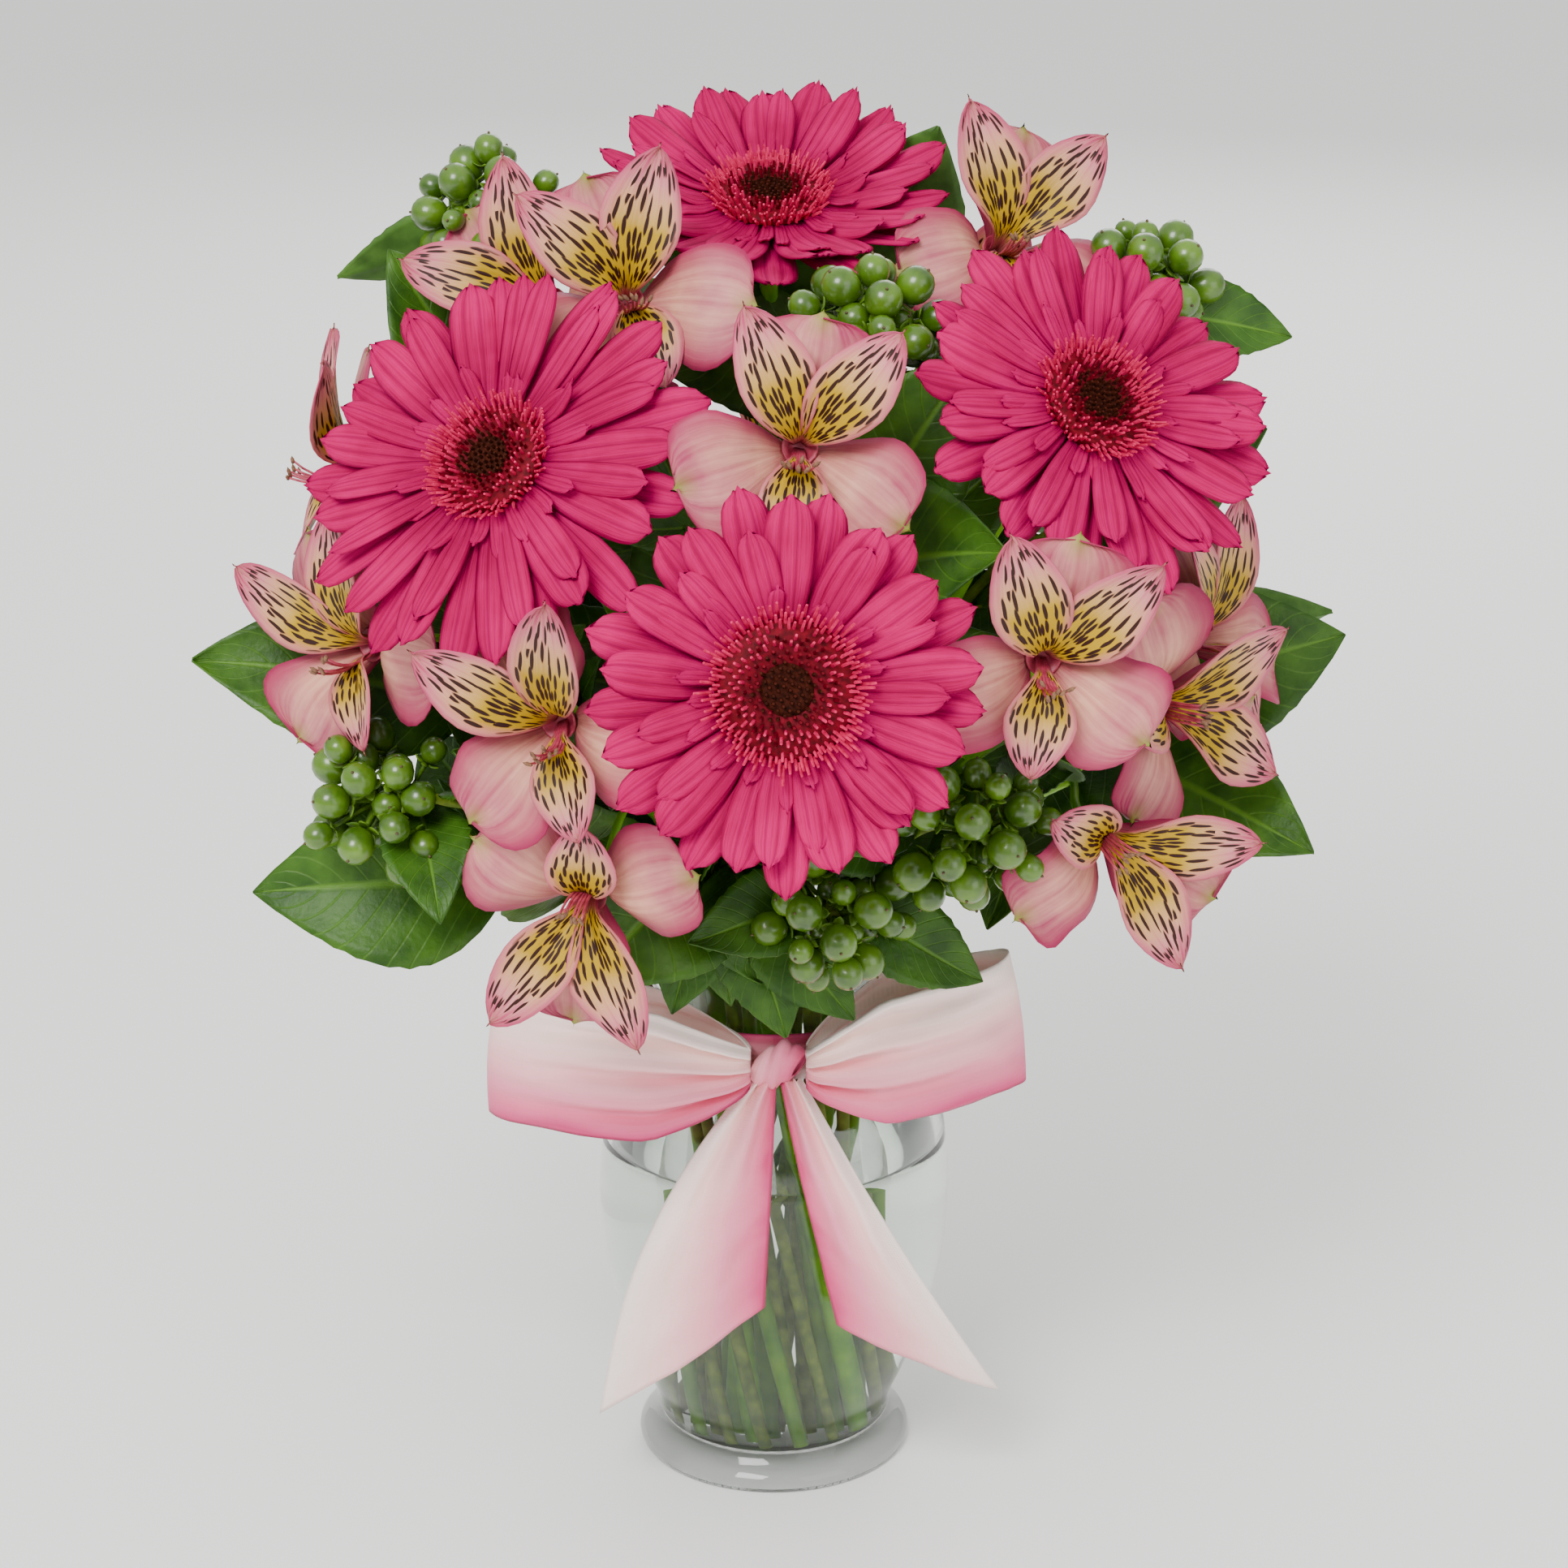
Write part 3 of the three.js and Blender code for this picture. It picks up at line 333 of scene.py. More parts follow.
def ribbon_material():
    # Wired satin ribbon, woven plain: a soft sheen, dyed from ivory at one edge to rose at the corded one
    material, tree, shader = new_material(
        "ombre_satin_ribbon", Roughness=0.55, Sheen_Weight=0.12, Sheen_Roughness=0.35, Specular_IOR_Level=0.3)
    uv, across, along = places_on_blade(tree)
    drift = add(tree, "Mapping", {"Vector": uv, "Scale": (2, 5, 1)})
    drift = add(tree, "TexNoise", {"Vector": drift, "Scale": 1, "Detail": 2})
    drift = add(tree, "MapRange", {"Value": drift, "To Min": -0.12, "To Max": 0.12})
    shade = add(tree, "Math", {0: across, 1: drift}, operation="ADD")
    base = add(tree, "ValToRGB", {0: shade}, stops=[
        (0, "#FFEEE6"), (0.26, "#FFD8D0"), (0.5, "#FAB2B8"), (0.72, "#F08CA2"), (0.9, "#E26088"),
        (0.98, "#CC3A70")])
    cord = add(tree, "MapRange", {"Value": across, "From Min": 0.975, "From Max": 0.99, "To Max": 0.7})
    # Threads are drawn about 1.2 mm apart, wider than real ones, so that the weave shows
    weave = 0.0
    for direction_of_threads, count in ((across, 66.0), (along, 260.0)):
        threads = add(tree, "Math", {0: direction_of_threads, 1: count}, operation="MULTIPLY")
        threads = add(tree, "Math", {0: threads, 1: 1.0}, operation="PINGPONG")
        weave = add(tree, "Math", {0: threads, 1: weave}, operation="ADD")
    dress(tree, shader, base, [(cord, linear("#A02850"))], weave, 0.05)
    return material


def clear_material(name, tint, ior, mirror, per_millimetre, depth):
    """A clear body with a faint waviness that bends what is seen through it."""
    material, tree, shader = new_material(
        name, Base_Color=linear(tint), Roughness=0.0, IOR=ior, Specular_Tint=linear(mirror),
        Transmission_Weight=1.0)
    place = add(tree, "TexCoord", {}, "Object")
    waves = add(tree, "TexNoise", {"Vector": place, "Scale": per_millimetre / MM, "Detail": 1})
    relief = add(tree, "Bump", {"Height": waves, "Distance": depth * MM, "Strength": 0.2})
    tree.links.new(relief, shader.inputs["Normal"])
    return material


# Pressed soda-lime glass: clear and hard, with bright highlights, darker edges and slight waves
GLASS = clear_material("clear_soda_lime_glass", "#F5F9F6", 1.5, "#E0E0E0", 0.02, 0.25)
# Still water: it magnifies the stems and shows its rim as a bright line, but hardly mirrors at the glass
WATER = clear_material("vase_water", "#FAFCF8", 1.33, "#404040", 0.03, 0.1)
RAY = ray_petal_material()
# Disc florets are waxy tubes: rose in the fringe, wine red further in, and dark brown buds in the eye
FLORET_PINK = plain_plant_material(
    "gerbera_outer_floret", "#A8003A", "#DE2460", 0.5, 0.6, Specular_IOR_Level=0.15)
FLORET_RED = plain_plant_material(
    "gerbera_inner_floret", "#44020C", "#74001A", 0.6, 0.6, Specular_IOR_Level=0.1)
FLORET_DARK = plain_plant_material("gerbera_eye", "#220C06", "#44190E", 0.8, 0.7, Specular_IOR_Level=0.05)
# Gerbera stems and bracts are juicy and a little downy, so they look light green and half matt
GERBERA_GREEN = plain_plant_material(
    "gerbera_stem_skin", "#58A006", "#8CCC1C", 0.12, 0.5, 0.15, Specular_IOR_Level=0.3)
OUTER_TEPAL = outer_tepal_material()
INNER_TEPAL = inner_tepal_material()
# Filaments are smooth fleshy threads, rosy with a slight gloss
FILAMENT = plain_plant_material("alstroemeria_filament", "#8E1C38", "#C04860", 0.3, 0.45)
# Anthers are dusty with pollen, so they are a dull brown
ANTHER = plain_plant_material("alstroemeria_anther", "#5C3A2C", "#8A6444", 1.0, 0.8)
# Alstroemeria stems are thin and smooth, with a faint gloss
ALSTROEMERIA_GREEN = plain_plant_material(
    "alstroemeria_stem_skin", "#4A880A", "#7CB01C", 0.1, 0.45, Specular_IOR_Level=0.3)
# Hypericum berries have a taut glossy skin that shows small highlights
BERRY_SKIN = plain_plant_material(
    "hypericum_berry_skin", "#30500A", "#5A8014", 0.12, 0.3, 0.1, Coat_Weight=0.35, Coat_Roughness=0.18)
# Sepals and small stalks are thin leaf tissue, matt beside the berries
SEPAL_GREEN = plain_plant_material("hypericum_sepal", "#365808", "#60841A", 0.3, 0.5, Specular_IOR_Level=0.3)
# The dried style is a rough brown speck on the berry
BERRY_TIP = plain_plant_material("hypericum_dry_style", "#3A2C18", "#5E4E2C", 1.0, 0.7)
# The twigs have a dull, faintly ridged bark that is still green
WOODY_STEM = plain_plant_material("green_twig_bark", "#526C0E", "#88A024", 0.2, 0.65, 0.25)
LEAF_UPPER = leaf_material("salal_leaf_upper", "#22440A", "#406816")
BERRY_LEAF_UPPER = leaf_material("hypericum_leaf_upper", "#22440A", "#3E6616")
# A leaf's underside has no wax, so it is paler and matt
LEAF_UNDER = plain_plant_material(
    "salal_leaf_underside", "#345816", "#507A2A", 0.15, 0.6, Specular_IOR_Level=0.3)
RIBBON_CLOTH = ribbon_material()
# Seamless paper is matt and nearly white, so it shows only soft shadows
PAPER = new_material("white_paper_sweep", Base_Color=linear("#F6F5F3"), Roughness=0.9)[0]


# Mesh tools

def new_shape():
    """An empty bmesh with the UV map that every piece shares."""
    shape = bmesh.new()
    shape.loops.layers.uv.new("UVMap")
    return shape


def bent_grid(columns, rows, surface):
    """A grid bent over surface(u, v), u from -1 to 1 across and v from 0 to 1 along."""
    shape = new_shape()
    bmesh.ops.create_grid(shape, x_segments=columns, y_segments=rows, size=1, calc_uvs=True)
    for vert in shape.verts:
        vert.co = surface(vert.co.x, (vert.co.y + 1) / 2)
    return shape


def blade(columns, rows, surface, thickness, back=0):
    """A bent grid with a wall along its normals; back is the material slot of its underside."""
    shape = bent_grid(columns, rows, surface)
    under = bmesh.ops.duplicate(shape, geom=shape.faces[:])
    shape.normal_update()
    lower = [item for item in under["geom"] if isinstance(item, bmesh.types.BMFace)]
    for vert in {corner for face in lower for corner in face.verts}:
        vert.co -= vert.normal * thickness
    for face in lower:
        face.material_index = back
    bmesh.ops.reverse_faces(shape, faces=lower)
    bmesh.ops.bridge_loops(shape, edges=[edge for edge in shape.edges if edge.is_boundary])
    bmesh.ops.recalc_face_normals(shape, faces=shape.faces[:])
    return shape


def lathe(profile, steps, place=Matrix()):
    """A round body turned from (radius, height) points that start and end on the axis."""
    shape = new_shape()
    verts = [shape.verts.new((radius, 0, height)) for radius, height in profile]
    edges = [shape.edges.new(pair) for pair in zip(verts, verts[1:])]
    bmesh.ops.spin(
        shape, geom=verts + edges, cent=(0, 0, 0), axis=(0, 0, 1), angle=TURN, steps=steps, use_merge=True)
    bmesh.ops.remove_doubles(shape, verts=shape.verts[:], dist=0.001)
    bmesh.ops.recalc_face_normals(shape, faces=shape.faces[:])
    bmesh.ops.transform(shape, matrix=place, verts=shape.verts[:])
    return shape


def along_frame(point, heading, previous=None):
    """A frame at point whose z follows heading, turned as little as can be from the previous one."""
    z = heading.normalized()
    x = previous.col[0].xyz if previous else z.orthogonal()
    y = z.cross(x).normalized()
    x = y.cross(z)
    turned = Matrix((x, y, z)).transposed().to_4x4()
    turned.translation = point
    return turned


def tube(points, radius, sides):
    """A stem: a ring extruded from point to point; radius(share of its length) gives its thickness."""
    shape = new_shape()
    thickness = radius if callable(radius) else (lambda share: radius)
    last = len(points) - 1
    here = along_frame(points[0], points[1] - points[0])
    bmesh.ops.create_circle(shape, segments=sides, radius=thickness(0), cap_ends=True, matrix=here)
    edges = shape.edges[:]
    for i in range(1, last + 1):
        there = along_frame(points[i], points[min(i + 1, last)] - points[i - 1], here)
        grown = bmesh.ops.extrude_edge_only(shape, edges=edges)["geom"]
        ring = [item for item in grown if isinstance(item, bmesh.types.BMVert)]
        edges = [
            item for item in grown
            if isinstance(item, bmesh.types.BMEdge) and all(vert in ring for vert in item.verts)]
        scale = thickness(i / last) / thickness((i - 1) / last)
        move = there @ Matrix.Diagonal((scale, scale, 1, 1)) @ here.inverted()
        bmesh.ops.transform(shape, matrix=move, verts=ring)
        here = there
    bmesh.ops.contextual_create(shape, geom=edges)
    bmesh.ops.recalc_face_normals(shape, faces=shape.faces[:])
    return shape


class Piece:
    """One piece of the finished model, gathered from shapes in millimetres."""

    def __init__(self, name, materials):
        self.name = name
        self.materials = materials
        self.whole = new_shape()

    def add(self, shape, material, smooth=True):
        """Adds a shape in one of the piece's materials; a face's own slot counts on from it."""
        for face in shape.faces:
            face.material_index += self.materials.index(material)
            face.smooth = smooth
        mesh = bpy.data.meshes.new("shape")
        shape.to_mesh(mesh)
        shape.free()
        self.whole.from_mesh(mesh)
        bpy.data.meshes.remove(mesh)

    def finish(self, slot, *nodes):
        """Makes the object in metres, in place of the CAD nodes that it stands for."""
        bmesh.ops.scale(self.whole, vec=(MM, MM, MM), verts=self.whole.verts[:])
        mesh = bpy.data.meshes.new(self.name)
        self.whole.to_mesh(mesh)
        self.whole.free()
        for material in self.materials:
            mesh.materials.append(material)
        piece = bpy.data.objects.new(self.name, mesh)
        bpy.context.scene.collection.objects.link(piece)
        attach(piece, "root")
        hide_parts(*nodes)
        return piece


# Curves

def bezier(p0, p1, p2, p3, share):
    rest = 1 - share
    return rest ** 3 * p0 + 3 * rest * rest * share * p1 + 3 * rest * share * share * p2 + share ** 3 * p3


def smooth_curve(points, i, t):
    """A point at share t of the span after point i, on a Catmull-Rom curve through the points."""
    p0, p1, p2, p3 = (points[min(max(i + k, 0), len(points) - 1)] for k in (-1, 0, 1, 2))
    bend = (2 * p0 - 5 * p1 + 4 * p2 - p3) * t * t
    return 0.5 * (2 * p1 + (p2 - p0) * t + bend + (3 * p1 - p0 - 3 * p2 + p3) * t ** 3)


# Placing: what grows here follows the solids, so each stem, petal and leaf is matched to its own node

def cad_surface(node):
    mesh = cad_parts[node].data
    points = [vert.co / MM for vert in mesh.vertices]
    return BVHTree.FromPolygons(points, [face.vertices[:] for face in mesh.polygons])


def best_fit(surface, options, probes, depth, near, limit):
    """The first option whose probe points all but lie at a given depth under the solid's surface.

    Where none comes that near, the nearest within the limit is taken, or else None.
    """
    def miss(option):
        points = probes(option)
        return sum(abs(surface.find_nearest(point)[3] - depth) for point in points) / len(points)

    for option in options:
        if miss(option) < near:
            return option
    best = min(options, key=miss)
    return best if miss(best) < limit else None


def leaning(around, aside):
    """A direction at an angle to the z axis, on the side that around gives."""
    return Vector((
        math.cos(around) * math.sin(aside), math.sin(around) * math.sin(aside), math.cos(aside)))


def direction(look):
    azimuth, elevation = (math.radians(angle) for angle in look)
    return Vector((
        math.sin(azimuth) * math.cos(elevation), -math.cos(azimuth) * math.cos(elevation),
        math.sin(elevation)))


def head_frame(at, look, turn=0):
    """A head's own frame: z looks out of the flower, y points to its top and x to its right as it is seen."""
    z = direction(look)
    x = UP.cross(z).normalized()
    y = z.cross(x)
    made = Matrix((x, y, z)).transposed().to_4x4()
    made.translation = Vector(at)
    return made @ Matrix.Rotation(-math.radians(turn), 4, "Z")


# A stem leaves the neck straight for this share of the way to its head, and reaches the head as straight
LEAVES_NECK = 0.38
MEETS_HEAD = 0.36
# How far a stem may swing sideways, in the order that the source tries
SWINGS = [0, 7, -7, 14, -14, 21, -21, 28, -28]
STEM_STEPS = 28


def stem_route(node, end, arrival, kind):
    """The middle line of a stem, from its cut end through its place in the neck to its head."""
    radius, sweeps = STEMS[kind]
    verts = [vert.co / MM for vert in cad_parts[node].data.vertices]
    low = min(vert.z for vert in verts)
    foot = [vert for vert in verts if vert.z < low + 3]
    ring = [vert for vert in verts if abs(vert.z - NECK_HEIGHT) < 1.5]
    cut_end = sum(foot, Vector()) / len(foot)
    neck = sum(ring, Vector()) / len(ring)
    reach = (neck - end).length
    rise = (neck - cut_end).normalized()
    sideways = UP.cross(end - neck).normalized()

    def route(swing, steps):
        second = neck + rise * LEAVES_NECK * reach
        third = end - arrival * MEETS_HEAD * reach + sideways * swing
        return [bezier(neck, second, third, end, i / steps) for i in range(steps + 1)]

    def probes(swing):
        return route(swing, sweeps)[1:-1]

    swing = best_fit(cad_surface(node), SWINGS, probes, depth=radius * 0.9, near=0, limit=50)
    return [cut_end, cut_end.lerp(neck, 0.33), cut_end.lerp(neck, 0.67), *route(swing, STEM_STEPS)]


def below(route, distance):
    """A point at a distance down a stem from its end."""
    for here, there in zip(route[::-1], route[-2::-1]):
        step = (there - here).length
        if step > distance:
            return here.lerp(there, distance / step)
        distance -= step
    return route[0]


def stem_thickness(radius):
    """A stem is a little thicker at its cut end and slightly uneven."""
    phase = random.uniform(0, 6)
    return lambda share: radius * (1.06 - 0.14 * share + 0.03 * math.sin(9 * share + phase))


def grow_stem(piece, node, end, arrival, kind, skin, sides=10):
    """Adds a stem to the piece and gives its middle line."""
    route = stem_route(node, end, arrival, kind)
    piece.add(tube(route, stem_thickness(STEMS[kind][0]), sides), skin)
    return route


# Vase, water

VASE_STEPS = 96
OUTLINE_STEPS = 5
# The foot stands this far into the table, as if wet, so that the pale table shows through the glass
FOOT_SINKS = 0.06
# The water laps this far into the glass, because a sliver of air between them would mirror all light
WATER_LAPS = 0.08

outline = [Vector(point) for point in VASE_OUTLINE]
smoothed = [
    smooth_curve(outline, i, step / OUTLINE_STEPS)
    for i in range(len(outline) - 1) for step in range(OUTLINE_STEPS)]
OUTER_WALL = [(radius, height) for height, radius in [*smoothed, outline[-1]]]


def outer_radius(height):
    for (r0, z0), (r1, z1) in zip(OUTER_WALL, OUTER_WALL[1:]):
        if z1 >= height:
            return r0 + (r1 - r0) * (height - z0) / (z1 - z0)
    return OUTER_WALL[-1][0]


def make_vase():
    vase = Piece("glass_vase", [GLASS])
    rim_radius, rim_height = OUTER_WALL[-1]
    inner = [(outer_radius(z) - VASE_WALL, z) for _, z in OUTER_WALL if z > VASE_FLOOR + 2][::-1]
    foot = [(0, -FOOT_SINKS), (30, -FOOT_SINKS), (41.4, -FOOT_SINKS), (42.5, 0.5), (43, 1.5)]
    rim = [
        (rim_radius - 0.3, rim_height + 0.6), (rim_radius - VASE_WALL / 2, rim_height + 1),
        (rim_radius - VASE_WALL + 0.3, rim_height + 0.6)]
    floor_inside = [
        (inner[-1][0] - 1.2, VASE_FLOOR + 0.6), (inner[-1][0] - 3.5, VASE_FLOOR), (0, VASE_FLOOR)]
    vase.add(lathe([*foot, *OUTER_WALL[1:], *rim, *inner, *floor_inside], VASE_STEPS), GLASS)
    vase.finish("glass", "vase")


def make_water():
    """The water, with its surface drawn up a little where it wets the glass."""
    water = Piece("vase_water", [WATER])
    wall = [
        (radius - VASE_WALL + WATER_LAPS, z) for radius, z in OUTER_WALL
        if VASE_FLOOR + 2 < z < WATER_LEVEL - 1]
    top = outer_radius(WATER_LEVEL) - VASE_WALL + WATER_LAPS
    profile = [
        (0, VASE_FLOOR - WATER_LAPS), (wall[0][0] - 3.5, VASE_FLOOR - WATER_LAPS), *wall,
        (top, WATER_LEVEL + 0.8), (top - 1, WATER_LEVEL + 0.2), (top - 3, WATER_LEVEL), (0, WATER_LEVEL)]
    water.add(lathe(profile, VASE_STEPS), WATER)
    water.finish("water", "water")


# Gerberas

RAY_START = 13
# How a ray may bend and how short it may be, in the order that the source tries
RAY_BENDS = [0, -6, 6, -12, 12, -18, 18, -25, 25, -34]
RAY_SHARES = (1, 0.86, 0.72, 0.6)
# Beside the rays of the solids: a shorter whorl within them, and small ones at the rim of the disc
INNER_RAYS = 11
SMALL_RAYS = 17
FLORETS = 330
FLORET_REACH = 20.6
# Each floret stands this far round from the one before it, in radians, as in a sunflower
GOLDEN_ANGLE = 2.39996
# How wide the disc of each gerbera is, beside the second one's
DISC_SIZES = [0.86, 1, 0.84, 0.84]
BRACTS = 15


def ray_path(rise, lift, along):
    """The radius and height that a length along a ray is bent to."""
    out = max(0, along - GERBERA["root"])
    tilt = math.radians(lift) * (0.5 + 0.5 * min(1, out / 40))
    return along - out * (1 - math.cos(tilt)), rise + out * math.sin(tilt)


def ray_petal(place, angle, reach, rise, lift, width):
    """A ray petal: narrow at its root, straight-sided, with three ribs and a blunt tip."""
    turned = place @ Matrix.Rotation(angle + random.uniform(-0.05, 0.05), 4, "Z")
    sway, twist, curl = random.uniform(-2.5, 2.5), random.uniform(-0.34, 0.34), random.uniform(-3.5, 1.5)
    cup = random.uniform(-0.6, 1.8)
    notch = random.uniform(0.2, 1.0)
    width *= random.uniform(0.88, 1.06)

    def surface(u, v):
        v = 1 - (1 - v) ** 1.25
        ribs = math.cos(3 * math.pi * u)
        back = notch * v ** 20 * max(0, ribs * -1) + 2.2 * v ** 9 * u * u
        radius, height = ray_path(rise, lift, RAY_START + (reach - RAY_START) * v - back)
        spread = 0.36 + 0.64 * math.sin(math.pi / 2 * min(1, v / 0.6))
        half = width / 2 * spread * math.sqrt(1 - 0.9 * max(0, (v - 0.66) / 0.34) ** 2.6)
        across = u * half
        groove = 0.42 * ribs * min(1, 4 * v) * width / 13
        height += groove - cup * u * u * math.sin(math.pi * v) + twist * across * v + curl * v ** 3
        return turned @ Vector((radius, across + sway * v * v, height))

    return blade(6, 11, surface, 0.45)


def floret(place, angle, radius, height, lean, size, length):
    """A disc floret: a small tapering tube leaning out from the middle of the head."""
    shape = new_shape()
    root = place @ Matrix.Rotation(angle, 4, "Z") @ Matrix.Translation((radius, 0, height))
    turned = root @ Matrix.Rotation(lean, 4, "Y")
    bmesh.ops.create_cone(
        shape, cap_ends=True, segments=5, radius1=size * 0.7, radius2=size * 0.45, depth=length,
        matrix=turned @ Matrix.Translation((0, 0, length / 2)))
    return shape


def make_gerbera_petals(number, at, look, turn, cup, size):
    place = head_frame(at, look, turn)
    node = f"gerbera_{number}_petals"
    surface = cad_surface(node)
    flower = Piece(f"gerbera_{number}_rays", [RAY])
    count = GERBERA["rays"]
    reach = GERBERA["reach"]
    root = GERBERA["root"]
    options = [(share, bend) for share in RAY_SHARES for bend in RAY_BENDS]
    kept = []
    for whorl, (to, rise, lift) in enumerate([(reach + 2, -1.8, cup), (reach - 2, 0.4, cup + 6)]):
        for i in range(count):
            angle = (i + 0.5 * whorl) / count * TURN
            full = to * size * draw(0.95, 1.04)
            raised = lift + draw(-2, 2)
            turned = place @ Matrix.Rotation(angle, 4, "Z")

            def probes(option):
                share, bend = option
                points = []
                for along in (0.6, 0.92):
                    out = root + (full * share - root) * along
                    radius, height = ray_path(rise, raised + bend, out)
                    points.append(turned @ Vector((radius, 0, height)))
                return points

            share, bend = best_fit(surface, options, probes, depth=0.45, near=0.9, limit=99)
            kept.append((angle, bend))
            width = GERBERA["petal"] * 1.06
            flower.add(ray_petal(place, angle, full * share, rise, raised + bend, width), RAY)
    for i in range(INNER_RAYS):
        angle = (i + random.uniform(-0.3, 0.3)) / INNER_RAYS * TURN
        bend = min(kept, key=lambda ray: abs(math.remainder(ray[0] - angle, TURN)))[1]
        to = reach * size * random.uniform(0.78, 0.94)
        flower.add(ray_petal(place, angle, to, 1.2, cup + 11 + max(0, bend), 9.4), RAY)
    for i in range(SMALL_RAYS):
        angle = (i + random.uniform(-0.4, 0.4)) / SMALL_RAYS * TURN
        to = reach * random.uniform(0.46, 0.62)
        flower.add(ray_petal(place, angle, to, 1.8, cup + random.uniform(16, 34), 4.2), RAY)
    core = [(0, -5), (11, -5), (13.5, -3), (14, 0.8), (0, 0.8)]
    flower.add(lathe(core, 20, place), RAY)
    flower.finish("petal", node)


def make_gerbera_disc(number, at, look, turn):
    open_to = DISC_SIZES[number - 1]
    place = head_frame(at, look, turn) @ Matrix.Diagonal((open_to, open_to, 1, 1))
    disc = Piece(f"gerbera_{number}_florets", [FLORET_PINK, FLORET_RED, FLORET_DARK])
    mound = [(0, 1.8), (18.6, 1.8), (19.6, 2.6), (18, 4.2), (13, 4.8), (8.6, 4.9), (6, 4), (0, 3.4)]
    disc.add(lathe(mound, 28, place), FLORET_RED)
    eye = [(0, 3), (6.8, 3), (7.2, 4.7), (5, 4.2), (0, 3.7)]
    disc.add(lathe(eye, 24, place), FLORET_DARK)
    for i in range(FLORETS):
        radius = FLORET_REACH * math.sqrt((i + 0.5) / FLORETS)
        wobble = random.uniform(-0.16, 0.16)
        # Outwards from the eye the florets stand lower, lean further and are longer
        if radius < 7:
            skin = FLORET_DARK
            height, lean, size, length = 3.4, 0.05 * radius / 8, 1.0, 2.1 + 0.1 * radius
        elif radius < 10.6:
            skin = FLORET_DARK if random.random() < (10 - radius) / 3.6 else FLORET_RED
            height, lean, size, length = 4, 0.15 + wobble, 1.0, random.uniform(2.4, 3.8)
        elif radius < 14.5:
            skin = FLORET_PINK if random.random() < 0.72 else FLORET_RED
            height, lean, size, length = 3.8, 0.35 + wobble, 0.95, random.uniform(3, 5)
        else:
            skin = FLORET_PINK
            height, lean, size, length = 2.8, 0.7 + 2 * wobble, 0.9, random.uniform(3.8, 6.6)
        disc.add(floret(place, i * GOLDEN_ANGLE, radius, height, lean, size, length), skin, smooth=False)
    disc.finish("disc", f"gerbera_{number}_disc")


def make_gerbera_stem(number, at, look, turn):
    place = head_frame(at, look, turn)
    node = f"gerbera_{number}_stem"
    stem = Piece(f"gerbera_{number}_stalk", [GERBERA_GREEN])
    grow_stem(stem, node, place @ Vector((0, 0, -15)), direction(look), "gerbera", GERBERA_GREEN, sides=12)
    cup = [
        (0, -16.4), (2.9, -16.4), (4.6, -15.6), (8.5, -12.6), (12.4, -9), (13.6, -6.6), (12.5, -5.4),
        (0, -5.4)]
    stem.add(lathe(cup, 24, place), GERBERA_GREEN)
    for ring, (base, top) in enumerate([((5, -15.6), (14.8, -6.4)), ((8, -13.4), (16.4, -4.4))]):
        for i in range(BRACTS):
            turned = place @ Matrix.Rotation((i + ring / 2) / BRACTS * TURN, 4, "Z")

            def surface(u, v):
                along = Vector(base).lerp(Vector(top), v)
                bulge = 0.9 * math.sin(math.pi * v)
                half = 1.9 * (1 - v ** 2.2) + 0.1
                return turned @ Vector((along.x + bulge, u * half, along.y - bulge * 0.8))

            stem.add(blade(2, 5, surface, 0.4), GERBERA_GREEN)
    stem.finish("gerbera_stem", node)


# Alstroemerias

# A tepal's middle runs from its claw through the throat over its limb, in (length, height); it is widest at a
# share of its length, opens and closes by powers, and its edge is lobed, folded and ruffled by these amounts
OUTER = {
    "skin": OUTER_TEPAL, "width": 31, "claw": (3.1, 1 - BLOOM_DEPTH), "throat": (8.5, -4),
    "limb": [(20, 3), (36, 1)], "widest": 0.76, "opening": 0.95, "shoulder": 2.7, "closing": 0.5,
    "lobes": 0.36, "fold": (-5.5, 2), "ruffle": 2, "point": 2.4, "pleat": 0.6, "groove": 0.5,
}
INNER = {
    "skin": INNER_TEPAL, "width": 20, "claw": (1.6, 4 - BLOOM_DEPTH), "throat": (5, -1),
    "limb": [(17, 7), (41, 13)], "widest": 0.72, "opening": 1.25, "shoulder": 1.6, "closing": 0.86,
    "lobes": 0.14, "fold": (1.8, 4), "ruffle": 1, "point": 2, "pleat": 0.3, "groove": 0.9,
}
# Each tepal's angle in the bloom, its form, and how much it may be shrunk; the lowest one is short
USUAL = (1, 0.8, 0.62)
TEPALS = [
    (90, OUTER, USUAL), (208, OUTER, USUAL), (332, OUTER, USUAL), (58, INNER, USUAL), (122, INNER, USUAL),
    (270, INNER, (0.72, 0.6)),
]
TEPAL_BENDS = [0, 10, -10, 20, -20, 32, -30, 45, -42]
STAMENS = 6
STALK_LEAVES = 7


def tepal_line(form, bend, shrink):
    """The places in length and height that a tepal's middle passes, from its claw to its tip."""
    at, height = form["throat"]
    tilt = math.tan(math.radians(bend))
    limb = [
        (at + (x - at) * shrink, height + (z - height) * shrink + (x - at) * shrink * tilt)
        for x, z in form["limb"]]
    return [Vector(point) for point in (form["claw"], form["throat"], *limb)]


